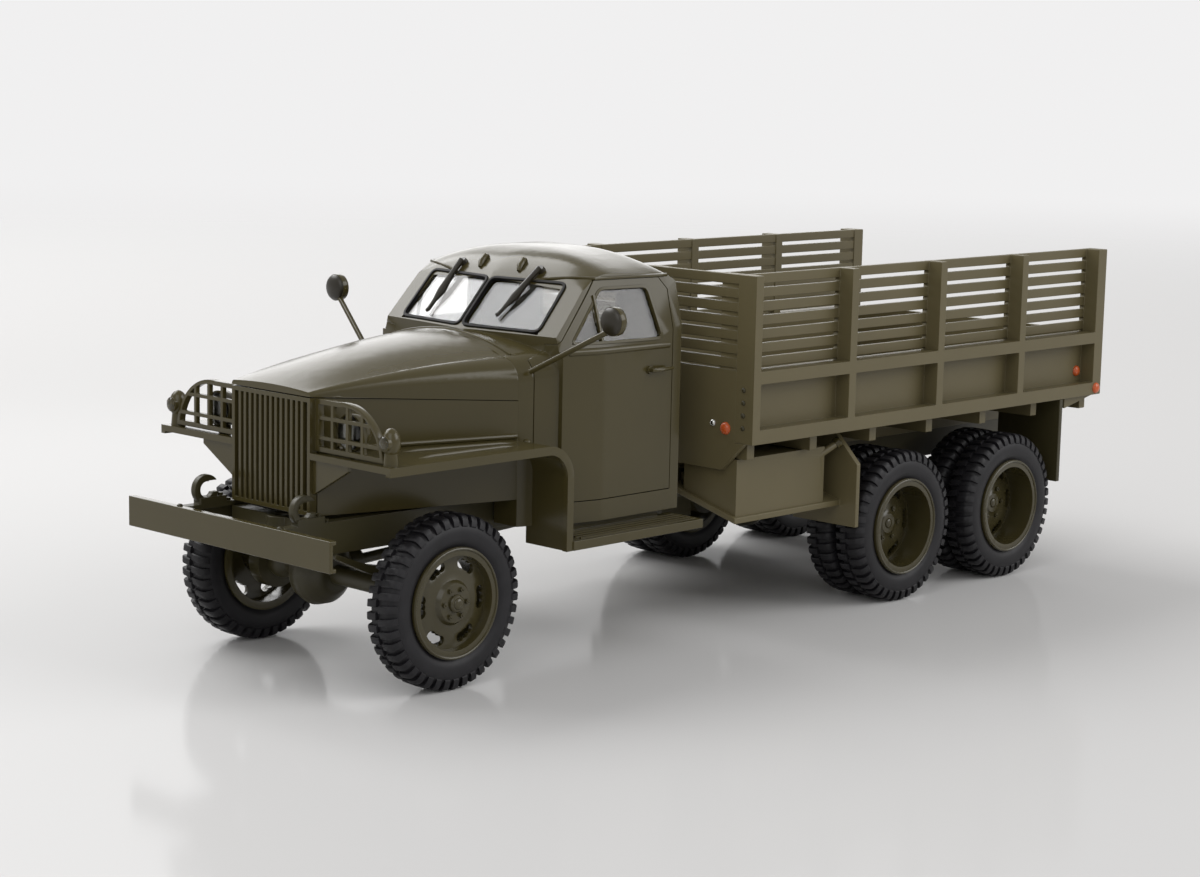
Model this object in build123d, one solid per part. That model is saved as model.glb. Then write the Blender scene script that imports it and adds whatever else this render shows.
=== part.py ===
from build123d import *
import math
import os

# Scale model of a three-axle military cargo truck, about 1:43, in millimetres.
# +X is forward, +Y is the truck's left, +Z is up.
# The origin is on the ground under the middle of the overall length.

# Overall length and axle places
OVERALL_LENGTH = 150.2
BUMPER_TO_FRONT_AXLE = 19.2
FRONT_TO_MID_AXLE = 82.7
BOGIE_SPACING = 25.7
FRONT_X = OVERALL_LENGTH / 2
REAR_X = -OVERALL_LENGTH / 2
FRONT_AXLE_X = FRONT_X - BUMPER_TO_FRONT_AXLE
MID_AXLE_X = FRONT_AXLE_X - FRONT_TO_MID_AXLE
REAR_AXLE_X = MID_AXLE_X - BOGIE_SPACING
BOGIE_X = (MID_AXLE_X + REAR_AXLE_X) / 2

# Tyres and wheels
TYRE_R = 10.83
TYRE_W = 4.6
TREAD_W = 3.4
RIM_FLANGE_R = 6.9
RIM_R = 6.3
RIM_WALL = 0.45
FRONT_TYRE_Y = 20.35
REAR_TYRE_Y = 25.1
TWIN_PITCH = 5.3
DISC_T = 0.6
FRONT_DISC_DEPTH = 1.3
HUB_FACE_R = 2.6
HUB_CAP_R = 1.1
HUB_CAP_RISE = 0.3
HUB_R = 2.1
TWIN_HUB_DEPTH = 3.1
TWIN_HUB_R = 1.6
TWIN_DISC_RISE = 1.2
BORE_COVER = 0.6
PIN_END_GAP = 0.4
VENTS = 6
VENT_R = 4.85
VENT_LENGTH = 2.9
VENT_W = 1.3
PIN_R = 0.7
PIN_CLEARANCE = 0.08
PIN_SINK = 0.35
LIP_T = 0.45
AXLE_Z = TYRE_R

# Ladder frame
RAIL_OUTER_Y = 10.2
RAIL_W = 1.5
RAIL_WEB = 0.6
RAIL_TOP_Z = 20.7
RAIL_H = 4.0
RAIL_BOTTOM_Z = RAIL_TOP_Z - RAIL_H
RAIL_INNER_Y = RAIL_OUTER_Y - RAIL_W
RAIL_MID_Y = RAIL_OUTER_Y - RAIL_W / 2
CROSS_T = 1.0
BOSS_R = 2.0
SCREW_R = 0.9

# Front bumper and tow hooks
BUMPER_HALF_W = 19.5
BUMPER_H = 3.8
BUMPER_WALL = 0.5
BUMPER_FLANGE = 1.0
HOOK_R = 1.42
HOOK_WIRE = 0.85
HOOK_X = FRONT_AXLE_X + 14.95
HOOK_FOOT_L = 4.0
HOOK_FOOT_T = 0.8

# Axles, springs and drive line
AXLE_TUBE_R = 1.25
DIFF_R = 4.4
DIFF_HALF_W = 3.5
DIFF_Y = -5.1
NOSE_L = 1.6
NOSE_R = 1.6
NOSE_LIFT = 0.6
DRUM_R = 3.5
DRUM_W = 2.0
WHEEL_GAP = 0.4
LEAF_W = 1.5
FRONT_SPRING_L = 21.0
SPRING_T = 1.5
SPRING_DROP = 1.7
SHAFT_R = 0.7
SHAFT_GAP = 0.15
TRANSFER_X = -2.0
TRANSFER_HALF_L = 3.0
TRANSFER_LIFT = 3.4
ENGINE_HALF_W = 4.6
GEARBOX_HALF_W = 2.6
GEARBOX_L = 14.0
ENGINE_DROP = 0.6
ENGINE_TOP_GAP = 4.0
KNUCKLE_R = 2.1
TIE_ROD_R = 0.45
TIE_ROD_BACK = 4.6
TIE_ROD_DROP = 2.2

# Grille, hood and front fenders
GRILLE_X = FRONT_AXLE_X + 12.3
GRILLE_HALF_W = 7.5
GRILLE_Z0 = 21.1
GRILLE_Z1 = 35.4
GRILLE_T = 1.1
GRILLE_RIM = 0.55
GRILLE_BARS = 13
GRILLE_BAR_W = 0.48
GUARD_REACH = 12.3
GUARD_SETBACK = 0.8
GUARD_RETURN = 0.9
GUARD_T = 0.6
GUARD_BAR = 0.45
GUARD_Z0 = 29.0
GUARD_Z1 = GRILLE_Z1 - 0.05
GUARD_BACK_X = GRILLE_X - GUARD_SETBACK - GUARD_RETURN
GUSSET_REACH = 6.4
GUSSET_DROP = 4.4
GUSSET_T = 0.6
RADIATOR_T = 1.6
LAMP_R = 2.3
LAMP_DEPTH = 2.8
LAMP_Y = 12.6
LAMP_Z = 31.7
SHEET = 0.8
HOOD_REAR_X = FRONT_AXLE_X - 15.3
HOOD_REAR_HALF_W = 14.7
HOOD_SHOULDER_Z = 37.6
HOOD_CREST_FRONT = 36.4
HOOD_CREST_REAR = 41.2
HOOD_BULGE = 0.8
NOSE_GAP = 0.15
SEAM_FRONT_Z = GRILLE_Z1 + NOSE_GAP
SEAM_GAP = 0.1
NOSE_EDGE_R = 0.5
HOOD_EDGE_R = 3.2
SEAM_REAR_Z = 33.6
FENDER_OUTER_Y = 22.0
FENDER_TOP_Z = 28.8
FENDER_FLANGE = 1.1
FENDER_BEND_R = 4.4
FENDER_REAR_X = FRONT_AXLE_X - 18.1
APRON_INNER_Y = 14.4
BOARD_REAR_X = FRONT_AXLE_X - 42.3
BOARD_OUTER_Y = 22.2
BOARD_Z = 15.2
BOARD_T = 1.2
BOARD_SHEET = 0.7
BOARD_GAP = 1.6

# Cab
CAB_REAR_X = FRONT_AXLE_X - 41.3
CAB_BOTTOM_Z = 17.5
CAB_FLOOR_Z = RAIL_TOP_Z + 0.3
TUNNEL_HALF_W = RAIL_OUTER_Y + 0.4
CAB_WALL = 0.9
CAB_HALF_W = 19.0
PILLAR_HALF_W = 16.4
DOOR_FRONT_X = FRONT_AXLE_X - 17.4
DOOR_REAR_X = FRONT_AXLE_X - 39.6
DOOR_BOTTOM_Z = 20.3
ROOF_Z = 51.4
ROOF_CREST_X = FRONT_AXLE_X - 35.0
ROOF_REAR_FALL = 3.6
ROOF_STEPS = 12
BELT_Z = 39.4
GUTTER_Z = ROOF_Z - 3.1
GUTTER_HALF_W = 16.9
GUTTER_FRONT_HALF_W = 15.2
BELT_FRONT_HALF_W = 15.7
DOOR_TOP_Z = ROOF_Z - 3.4
DOOR_BEND = 9.0
SCREEN_BASE_X = FRONT_AXLE_X - 18.5
SCREEN_BASE_Z = 41.2
SCREEN_TOP_X = FRONT_AXLE_X - 24.6
SCREEN_TOP_Z = ROOF_Z - 3.5
COWL_REAR_X = SCREEN_BASE_X - 4.0
SCREEN_SWEEP = 7.2
SCREEN_HALF_W = 12.9
SCREEN_MARGIN = 0.5
SEAM = 0.12
GLASS_T = 0.4
SEAT_TOP_Z = 27.0
SEAT_HALF_W = 14.5
SEAT_L = 9.5
SEAT_BACK_H = 10.0
SEAT_BACK_T = 3.2
DASH_HALF_W = 12.5
DASH_TOP_Z = SCREEN_BASE_Z - 3.8
DASH_H = 5.9
WHEEL_Y = 7.0
WHEEL_TOP_Z = SCREEN_BASE_Z - 4.8
WHEEL_RING_R = 4.2
WHEEL_WIRE = 0.35
COLUMN_R = 0.45
REAR_WINDOW_HALF_W = 7.0
REAR_WINDOW_H = 4.4

# Cargo bed
BED_FRONT_X = FRONT_AXLE_X - 48.1
BED_HALF_W = 25.3
BED_RAIL_Z0 = 25.9
BED_RAIL_H = 1.9
BED_MID_Z1 = 35.6
BED_MID_H = 1.7
BED_TOP_Z = 48.3
BED_POST_W = 1.5
BED_END_POST_W = 2.2
BED_BAYS = 4
BED_PANEL_INSET = 2.3
BED_PANEL_T = 0.8
RACK_INSET = 2.25
RACK_BASE_GAP = 0.3
BOARD_DROP = 3.9
BOARD_INSET = 1.4
RACK_POST_W = 3.0
SLATS = 7
SLAT_T = 0.7
SLAT_GAP = 0.55
FLOOR_T = 1.0
SILL_H = 2.9
SILL_W = 1.5
SILL_REACH = BED_HALF_W - 1.9
SILLS = 7
SILL_END = 2.0
LONG_SILL_W = 1.8
FLOOR_Z0 = BED_RAIL_Z0 + 0.6
SILL_Z0 = FLOOR_Z0 - SILL_H
BED_INNER_Y = BED_HALF_W - BED_PANEL_INSET - BED_PANEL_T
POST_PITCH = (BED_FRONT_X - REAR_X - BED_END_POST_W) / BED_BAYS
TAIL_WEDGE_L = 8.4
TAIL_WEDGE_H = 1.7
TAIL_WEDGE_T = 1.0
GATE_RIB_W = 1.6
GATE_RAIL_H = 1.2
GATE_STEP = 0.2

# Side tank, tool box and mudflaps
TANK_FRONT_X = BED_FRONT_X - BED_PANEL_T - 0.1
TANK_L = 18.5
TANK_REAR_X = TANK_FRONT_X - TANK_L
TANK_INNER_Y = 12.6
TANK_OUTER_Y = BED_HALF_W - 3.3
TANK_Z0 = 15.8
TANK_Z1 = SILL_Z0 - 0.1
TRAY_T = 0.8
TRAY_RISE = 0.27
FLAP_T = 0.8
FLAP_FRONT_X = MID_AXLE_X + 11.1
FLAP_REAR_X = REAR_AXLE_X - 12.6
FLAP_INNER_Y = 14.0
FLAP_OUTER_Y = BED_HALF_W - 0.1
FLAP_SLOT = 0.1
FLAP_FRONT_Z0 = 12.1
FLAP_REAR_Z0 = 13.2
FLAP_CHAMFER = 5.4
FILLER_R = 0.5

# Mirrors
MIRROR_FOOT_X = FRONT_AXLE_X - 16.4
MIRROR_FOOT_Y = CAB_HALF_W - 3.4
MIRROR_FOOT_Z = BELT_Z - 2.2
MIRROR_X = FRONT_AXLE_X - 20.3
MIRROR_Y = CAB_HALF_W + 7.1
MIRROR_Z = BELT_Z + 4.8
MIRROR_R = 1.8
MIRROR_T = 0.9
STALK_R = 0.35

os.makedirs("parts", exist_ok=True)


def block(x0, x1, y0, y1, z0, z1):
    size = (abs(x1 - x0), abs(y1 - y0), abs(z1 - z0))
    middle = ((x0 + x1) / 2, (y0 + y1) / 2, (z0 + z1) / 2)
    return Pos(*middle) * Box(*size)


def prism_xz(points, y0, y1):
    """A side outline, given as (x, z) points, extruded from y0 to y1."""
    face = make_face(Polyline(*[(x, y0, z) for x, z in points], close=True))
    return extrude(face, amount=abs(y1 - y0), dir=(0, math.copysign(1, y1 - y0), 0))


def prism_xy(points, z0, z1):
    """A plan outline, given as (x, y) points, extruded from z0 to z1."""
    face = make_face(Polyline(*[(x, y, z0) for x, y in points], close=True))
    return extrude(face, amount=z1 - z0, dir=(0, 0, 1))


def prism_yz(points, x0, x1):
    """A front outline, given as (y, z) points, extruded from x0 to x1."""
    face = make_face(Polyline(*[(x0, y, z) for y, z in points], close=True))
    return extrude(face, amount=abs(x1 - x0), dir=(math.copysign(1, x1 - x0), 0, 0))


def rod(start, end, radius):
    """A round bar from one point to another."""
    line = Vector(*end) - Vector(*start)
    return Plane(origin=start, z_dir=line.normalized()) * Cylinder(
        radius, line.length, align=(Align.CENTER, Align.CENTER, Align.MIN))


def turned(profile, y_sign=1):
    """A (radius, y) profile turned about the Y axis."""
    face = make_face(Polyline(*[(r, y_sign * y, 0) for r, y in profile], close=True))
    return revolve(face, Axis.Y, 360)


def fused(pieces):
    result = pieces[0]
    for piece in pieces[1:]:
        result = result + piece
    return result


def save(name, shape):
    export_step(shape, f"parts/{name}.step")


def save_pair(name, left):
    save(f"{name}_left", left)
    save(f"{name}_right", mirror(left, Plane.XZ))


# Tyres and wheels: y is 0 at the outer face and runs outwards

def tyre_profile():
    shoulder = (TYRE_W - TREAD_W) / 2
    half = [
        (RIM_R, -LIP_T),
        (RIM_FLANGE_R + 0.1, -LIP_T),
        (RIM_FLANGE_R + 0.5, -0.1),
        (RIM_FLANGE_R + 1.6, 0.0),
        (TYRE_R - 1.1, -0.15),
        (TYRE_R, -shoulder),
    ]
    return half + [(r, -TYRE_W - y) for r, y in reversed(half)]


def rim_profile():
    """A drop-centre rim: lipped flanges and a barrel, open through the middle."""
    inner = RIM_R - RIM_WALL
    return [
        (inner, 0.0),
        (RIM_FLANGE_R, 0.0),
        (RIM_FLANGE_R, -LIP_T),
        (RIM_R, -LIP_T),
        (RIM_R, -TYRE_W + LIP_T),
        (RIM_FLANGE_R, -TYRE_W + LIP_T),
        (RIM_FLANGE_R, -TYRE_W),
        (inner, -TYRE_W),
    ]


def vents(y0, y1):
    """A ring of slots through the disc, each longer round the ring than across."""
    half_turn = math.degrees((VENT_LENGTH - VENT_W) / 2 / VENT_R)
    cuts = []
    for number in range(VENTS):
        middle = 360 / VENTS * number
        for turn in (-half_turn, 0, half_turn):
            slot = Pos(VENT_R, (y0 + y1) / 2, 0) * Rot(90, 0, 0) * Cylinder(VENT_W / 2, abs(y1 - y0) + 1)
            cuts.append(Rot(0, middle + turn, 0) * slot)
    return cuts


def front_wheel():
    """Rim, convex disc with vents, and a capped hub with its blind bore."""
    inner = RIM_R - RIM_WALL
    depth = FRONT_DISC_DEPTH
    disc = turned([
        (0, HUB_CAP_RISE),
        (HUB_CAP_R - 0.2, HUB_CAP_RISE),
        (HUB_CAP_R, HUB_CAP_RISE - 0.2),
        (HUB_CAP_R, -0.25),
        (HUB_FACE_R - 0.2, -0.25),
        (HUB_FACE_R, -0.5),
        (HUB_FACE_R + 0.2, -0.8),
        (inner + 0.1, -depth),
        (inner + 0.1, -depth - DISC_T),
        (3.5, -depth - DISC_T + 0.2),
        (HUB_R, -depth - DISC_T),
        (HUB_R, -TYRE_W + 0.3),
        (0, -TYRE_W + 0.3),
    ])
    shape = turned(rim_profile()) + disc
    for cut in vents(-depth - 1.5, 0):
        shape = shape - cut
    bore_end = -PIN_SINK - BORE_COVER
    bore = Pos(0, (bore_end - TYRE_W) / 2 - 0.5, 0) * Rot(90, 0, 0) * Cylinder(
        PIN_R + PIN_CLEARANCE, bore_end + TYRE_W + 1)
    return shape - bore


def twin_wheel():
    """Two rims back to back on one deep-set disc and hub."""
    inner = RIM_R - RIM_WALL
    disc_y = -TWIN_PITCH + TWIN_DISC_RISE
    outer_rim = turned(rim_profile())
    inner_rim = Pos(0, -TWIN_PITCH, 0) * turned(rim_profile())
    spacer = turned([
        (inner, -TYRE_W),
        (RIM_R, -TYRE_W),
        (RIM_R, -TWIN_PITCH),
        (inner, -TWIN_PITCH),
    ])
    disc = turned([
        (0, -TWIN_HUB_DEPTH),
        (TWIN_HUB_R - 0.2, -TWIN_HUB_DEPTH),
        (TWIN_HUB_R, -TWIN_HUB_DEPTH - 0.2),
        (3.6, disc_y + 0.5),
        (inner + 0.1, disc_y),
        (inner + 0.1, disc_y - DISC_T),
        (HUB_R, disc_y - DISC_T),
        (HUB_R, -TWIN_PITCH - TYRE_W + 0.8),
        (0, -TWIN_PITCH - TYRE_W + 0.8),
    ])
    shape = outer_rim + inner_rim + spacer + disc
    for cut in vents(disc_y - 1.2, disc_y + 1.2):
        shape = shape - cut
    bore_end = -TWIN_HUB_DEPTH - BORE_COVER
    far_end = -TWIN_PITCH - TYRE_W
    bore = Pos(0, (bore_end + far_end) / 2 - 0.5, 0) * Rot(90, 0, 0) * Cylinder(
        PIN_R + PIN_CLEARANCE, bore_end - far_end + 1)
    return shape - bore


def twin_tyre():
    """Two tyres moulded as one ring, joined low down between the sidewalls."""
    outer = turned(tyre_profile())
    inner = Pos(0, -TWIN_PITCH, 0) * turned(tyre_profile())
    web = turned([
        (RIM_FLANGE_R + 0.3, -TYRE_W + 0.4),
        (RIM_FLANGE_R + 1.2, -TYRE_W + 0.4),
        (RIM_FLANGE_R + 1.2, -TWIN_PITCH - 0.4),
        (RIM_FLANGE_R + 0.3, -TWIN_PITCH - 0.4),
    ])
    return outer + inner + web


def make_wheels():
    rows = [
        # name, axle x, outer face y, tyre, wheel
        ("front", FRONT_AXLE_X, FRONT_TYRE_Y, turned(tyre_profile()), front_wheel()),
        ("mid", MID_AXLE_X, REAR_TYRE_Y, twin_tyre(), twin_wheel()),
        ("rear", REAR_AXLE_X, REAR_TYRE_Y, twin_tyre(), twin_wheel()),
    ]
    for name, axle_x, outer_y, tyre, wheel in rows:
        place = Pos(axle_x, outer_y, AXLE_Z)
        save_pair(f"tyre_{name}", place * tyre)
        save_pair(f"wheel_{name}", place * wheel)


# Axles: housing, differential ball, drums and the steel pin ends

def axle(axle_x, inner_face_y, pin_end_y, nose_side):
    """A dead axle with its differential and the pins that carry the wheels."""
    drum_y1 = inner_face_y - WHEEL_GAP
    drum_y0 = drum_y1 - DRUM_W
    tube = rod((axle_x, -drum_y0, AXLE_Z), (axle_x, drum_y0, AXLE_Z), AXLE_TUBE_R)
    pin = rod((axle_x, -pin_end_y, AXLE_Z), (axle_x, pin_end_y, AXLE_Z), PIN_R)
    ball = Pos(axle_x, DIFF_Y, AXLE_Z) * turned([
        (0, -DIFF_HALF_W),
        (DIFF_R * 0.55, -DIFF_HALF_W * 0.9),
        (DIFF_R * 0.9, -DIFF_HALF_W * 0.45),
        (DIFF_R, 0),
        (DIFF_R * 0.9, DIFF_HALF_W * 0.45),
        (DIFF_R * 0.55, DIFF_HALF_W * 0.9),
        (0, DIFF_HALF_W),
    ])
    nose_end = axle_x + nose_side * (DIFF_R + NOSE_L)
    nose = rod((axle_x, DIFF_Y, AXLE_Z + NOSE_LIFT), (nose_end, DIFF_Y, AXLE_Z + NOSE_LIFT), NOSE_R)
    shape = tube + pin + ball + nose
    for side in (-1, 1):
        shape = shape + rod((axle_x, side * drum_y0, AXLE_Z), (axle_x, side * drum_y1, AXLE_Z), DRUM_R)
    return shape


def make_axles():
    front_inner = FRONT_TYRE_Y - TYRE_W
    rear_inner = REAR_TYRE_Y - TWIN_PITCH - TYRE_W
    front_pin = FRONT_TYRE_Y - PIN_SINK - BORE_COVER - PIN_END_GAP
    rear_pin = REAR_TYRE_Y - TWIN_HUB_DEPTH - BORE_COVER - PIN_END_GAP
    front = axle(FRONT_AXLE_X, front_inner, front_pin, -1)
    save("axle_front", fused([front] + steering(front_inner - WHEEL_GAP - DRUM_W)))
    save("axle_mid", axle(MID_AXLE_X, rear_inner, rear_pin, 1))
    save("axle_rear", axle(REAR_AXLE_X, rear_inner, rear_pin, 1))


def steering(drum_y0):
    """Ball housings inside the front drums, their arms, and the tie rod behind the axle."""
    ball_y = RAIL_OUTER_Y + KNUCKLE_R + 0.2
    rod_x = FRONT_AXLE_X - TIE_ROD_BACK
    rod_z = AXLE_Z - TIE_ROD_DROP
    pieces = [rod((rod_x, -ball_y, rod_z), (rod_x, ball_y, rod_z), TIE_ROD_R)]
    for side in (-1, 1):
        y = side * ball_y
        pieces.append(Pos(FRONT_AXLE_X, y, AXLE_Z) * Sphere(KNUCKLE_R))
        pieces.append(rod((FRONT_AXLE_X, y, AXLE_Z), (FRONT_AXLE_X, side * drum_y0, AXLE_Z), KNUCKLE_R * 0.8))
        pieces.append(rod((FRONT_AXLE_X, y, AXLE_Z - 1.0), (rod_x, y, rod_z), TIE_ROD_R))
    return pieces


# Ladder frame, bumper and springs

def frame_rail():
    """A channel opening inwards, with the tow hook on its front horn."""
    x0 = REAR_X + 2.0
    x1 = FRONT_X - BUMPER_FLANGE
    rail = block(x0, x1, RAIL_INNER_Y, RAIL_OUTER_Y, RAIL_BOTTOM_Z, RAIL_TOP_Z)
    channel = block(x0 - 1, x1 + 1, RAIL_INNER_Y - 1, RAIL_OUTER_Y - RAIL_WEB,
                    RAIL_BOTTOM_Z + RAIL_WEB, RAIL_TOP_Z - RAIL_WEB)
    return rail - channel


def tow_hook():
    """A crook in the side plane on a foot plate, rising at its front and open behind."""
    centre_z = RAIL_TOP_Z + HOOK_R + HOOK_WIRE / 2 - 0.1
    ring = Pos(HOOK_X, RAIL_MID_Y, centre_z) * Rot(90, 0, 0) * Cylinder(HOOK_R + HOOK_WIRE / 2, HOOK_WIRE)
    hole = Pos(HOOK_X, RAIL_MID_Y, centre_z) * Rot(90, 0, 0) * Cylinder(HOOK_R - HOOK_WIRE / 2, HOOK_WIRE + 1)
    mouth = block(HOOK_X - HOOK_R - 1, HOOK_X - 0.3, RAIL_INNER_Y - 1, RAIL_OUTER_Y + 1,
                  centre_z - HOOK_R * 0.3, centre_z + HOOK_R * 0.75)
    foot = block(HOOK_X + 1.2 - HOOK_FOOT_L, HOOK_X + 1.2, RAIL_INNER_Y, RAIL_OUTER_Y,
                 RAIL_TOP_Z, RAIL_TOP_Z + HOOK_FOOT_T)
    return (ring - hole - mouth) + foot


def make_frame():
    save_pair("frame_rail", frame_rail() + tow_hook())
    rows = [
        # name, x place
        ("crossmember_front", GRILLE_X - GRILLE_T - RADIATOR_T / 2),
        ("crossmember_bogie", BOGIE_X),
        ("crossmember_tail", REAR_X + 4.0),
    ]
    for name, x in rows:
        member = block(x - CROSS_T, x + CROSS_T, -RAIL_INNER_Y, RAIL_INNER_Y,
                       RAIL_BOTTOM_Z + RAIL_WEB, RAIL_TOP_Z - RAIL_WEB)
        if name != "crossmember_tail":
            member = member + rod((x, 0, RAIL_BOTTOM_Z), (x, 0, RAIL_TOP_Z - RAIL_WEB), BOSS_R)
            member = member - rod((x, 0, RAIL_BOTTOM_Z - 1), (x, 0, RAIL_TOP_Z), SCREW_R)
        save(name, member)
    bumper_z1 = RAIL_TOP_Z
    bumper_z0 = bumper_z1 - BUMPER_H
    outer = block(FRONT_X - BUMPER_FLANGE, FRONT_X, -BUMPER_HALF_W, BUMPER_HALF_W, bumper_z0, bumper_z1)
    hollow = block(FRONT_X - BUMPER_FLANGE - 1, FRONT_X - BUMPER_WALL, -BUMPER_HALF_W - 1, BUMPER_HALF_W + 1,
                   bumper_z0 + BUMPER_WALL, bumper_z1 - BUMPER_WALL)
    save("front_bumper", outer - hollow)


def leaf_pack(middle_x, length, seat_z, rise):
    """A bowed leaf pack in the side plane, thicker at its middle."""
    rows = [
        # share of the half length, share of the rise, share of the thickness
        (-1, 1, 0.4),
        (-0.5, 0.35, 0.7),
        (0, 0, 1),
        (0.5, 0.35, 0.7),
        (1, 1, 0.4),
    ]
    half = length / 2
    top = [(middle_x + half * along, seat_z + rise * up) for along, up, _ in rows]
    under = [(middle_x + half * along, seat_z + rise * up - SPRING_T * thick) for along, up, thick in rows]
    return prism_xz(top + under[::-1], RAIL_MID_Y - LEAF_W / 2, RAIL_MID_Y + LEAF_W / 2)


def make_springs():
    seat = AXLE_Z + AXLE_TUBE_R + SPRING_T
    rise = RAIL_BOTTOM_Z - seat
    save_pair("spring_front", leaf_pack(FRONT_AXLE_X, FRONT_SPRING_L, seat, rise))
    save_pair("spring_bogie", bogie_spring())


def bogie_spring():
    """An upturned pack that rests on both rear axles and hangs from the frame at its middle."""
    end_z = AXLE_Z + AXLE_TUBE_R
    half = BOGIE_SPACING / 2
    top_z = RAIL_BOTTOM_Z
    outline = [
        (BOGIE_X - half, end_z),
        (BOGIE_X - half, end_z + SPRING_T * 0.5),
        (BOGIE_X - half * 0.3, top_z),
        (BOGIE_X + half * 0.3, top_z),
        (BOGIE_X + half, end_z + SPRING_T * 0.5),
        (BOGIE_X + half, end_z),
        (BOGIE_X + half * 0.3, top_z - SPRING_T * 1.5),
        (BOGIE_X - half * 0.3, top_z - SPRING_T * 1.5),
    ]
    return prism_xz(outline, RAIL_MID_Y - LEAF_W / 2, RAIL_MID_Y + LEAF_W / 2)


def make_driveline():
    """Engine with gearbox, and the transfer case with the shafts that leave it."""
    engine_x1 = GRILLE_X - GRILLE_T - RADIATOR_T - 2.0
    engine_x0 = HOOD_REAR_X + 1.0
    low_z = RAIL_BOTTOM_Z - ENGINE_DROP
    engine = block(engine_x0, engine_x1, -ENGINE_HALF_W, ENGINE_HALF_W, low_z, SEAM_REAR_Z - ENGINE_TOP_GAP)
    gearbox = block(engine_x0 - GEARBOX_L, engine_x0, -GEARBOX_HALF_W, GEARBOX_HALF_W,
                    low_z, RAIL_TOP_Z - ENGINE_DROP)
    save("engine_gearbox", engine + gearbox)
    nose = DIFF_R + NOSE_L + SHAFT_GAP
    nose_z = AXLE_Z + NOSE_LIFT
    case_z = AXLE_Z + TRANSFER_LIFT
    case = block(TRANSFER_X - TRANSFER_HALF_L, TRANSFER_X + TRANSFER_HALF_L, DIFF_Y - 2.2, 3.4,
                 case_z - 2.2, RAIL_BOTTOM_Z + RAIL_WEB)
    carrier = block(TRANSFER_X - CROSS_T, TRANSFER_X + CROSS_T, -RAIL_INNER_Y, RAIL_INNER_Y,
                    RAIL_BOTTOM_Z + RAIL_WEB, RAIL_TOP_Z - RAIL_WEB)
    to_front = rod((TRANSFER_X, DIFF_Y, case_z), (FRONT_AXLE_X - nose, DIFF_Y, nose_z), SHAFT_R)
    to_mid = rod((MID_AXLE_X + nose, DIFF_Y, nose_z), (TRANSFER_X, DIFF_Y, case_z), SHAFT_R)
    save("transfer_case", case + carrier + to_front + to_mid)
    save("propshaft_rear", rod((REAR_AXLE_X + nose, DIFF_Y, nose_z),
                               (MID_AXLE_X - DIFF_R - SHAFT_GAP, DIFF_Y, nose_z), SHAFT_R))


# Nose: grille with bars, radiator, guards, lamps, hood and fenders

def grille():
    """An open frame with a row of upright bars."""
    back = GRILLE_X - GRILLE_T
    frame = block(back, GRILLE_X, -GRILLE_HALF_W, GRILLE_HALF_W, GRILLE_Z0, GRILLE_Z1)
    inner_w = GRILLE_HALF_W - GRILLE_RIM
    opening = block(back - 1, GRILLE_X + 1, -inner_w, inner_w, GRILLE_Z0 + GRILLE_RIM, GRILLE_Z1 - GRILLE_RIM)
    shape = frame - opening
    pitch = 2 * inner_w / (GRILLE_BARS + 1)
    for number in range(GRILLE_BARS):
        y = -inner_w + pitch * (number + 1)
        shape = shape + block(back + 0.2, GRILLE_X, y - GRILLE_BAR_W / 2, y + GRILLE_BAR_W / 2,
                              GRILLE_Z0 + 0.2, GRILLE_Z1 - 0.2)
    return shape


def guard_face(inset):
    """The guard's outline in its own plane: a straight foot and a bowed top."""
    y0 = GRILLE_HALF_W + inset
    y1 = GRILLE_HALF_W + GUARD_REACH - inset
    z0 = GUARD_Z0 + inset
    z1 = GUARD_Z1 - inset
    bend_y = y0 + (y1 - y0) * 0.35
    x = GRILLE_X - GUARD_SETBACK
    foot = Polyline((x, bend_y, z1), (x, y0, z1), (x, y0, z0), (x, y1, z0))
    crown = (x, bend_y + (y1 - bend_y) * 0.76, z0 + (z1 - z0) * 0.66)
    top = ThreePointArc((x, y1, z0), crown, (x, bend_y, z1))
    return make_face([foot, top])


def headlamp_guard():
    """A rim turned back towards the lamp, with three upright and two level bars."""
    x1 = GRILLE_X - GUARD_SETBACK
    x0 = x1 - GUARD_T
    outer = extrude(guard_face(0), amount=GUARD_RETURN, dir=(-1, 0, 0))
    inner = extrude(guard_face(GUARD_T), amount=GUARD_RETURN + 2, dir=(-1, 0, 0))
    ring = outer - Pos(1, 0, 0) * inner
    bars = []
    for share in (0.252, 0.472, 0.691):
        y = GRILLE_HALF_W + GUARD_REACH * share
        bars.append(block(x0, x1, y - GUARD_BAR / 2, y + GUARD_BAR / 2, GUARD_Z0, GUARD_Z1))
    for share in (0.27, 0.65):
        z = GUARD_Z0 + (GUARD_Z1 - GUARD_Z0) * share
        bars.append(block(x0, x1, GRILLE_HALF_W, GRILLE_HALF_W + GUARD_REACH,
                          z - GUARD_BAR / 2, z + GUARD_BAR / 2))
    grid = fused(bars) & outer
    return ring + grid


def headlamp():
    """A bowl turned about X, on a short foot to the fender."""
    front = GUARD_BACK_X - NOSE_GAP
    bowl = Pos(front - 0.6, LAMP_Y, LAMP_Z) * Rot(0, 90, 0) * Cylinder(LAMP_R, 1.2)
    back = Pos(front - 1.2, LAMP_Y, LAMP_Z) * Rot(0, -90, 0) * Cone(
        LAMP_R, LAMP_R * 0.45, LAMP_DEPTH - 1.2, align=(Align.CENTER, Align.CENTER, Align.MIN))
    foot = block(front - 1.6, front - 0.4, LAMP_Y - 0.5, LAMP_Y + 0.5, FENDER_TOP_Z, LAMP_Z - LAMP_R * 0.6)
    return bowl + back + foot


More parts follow.
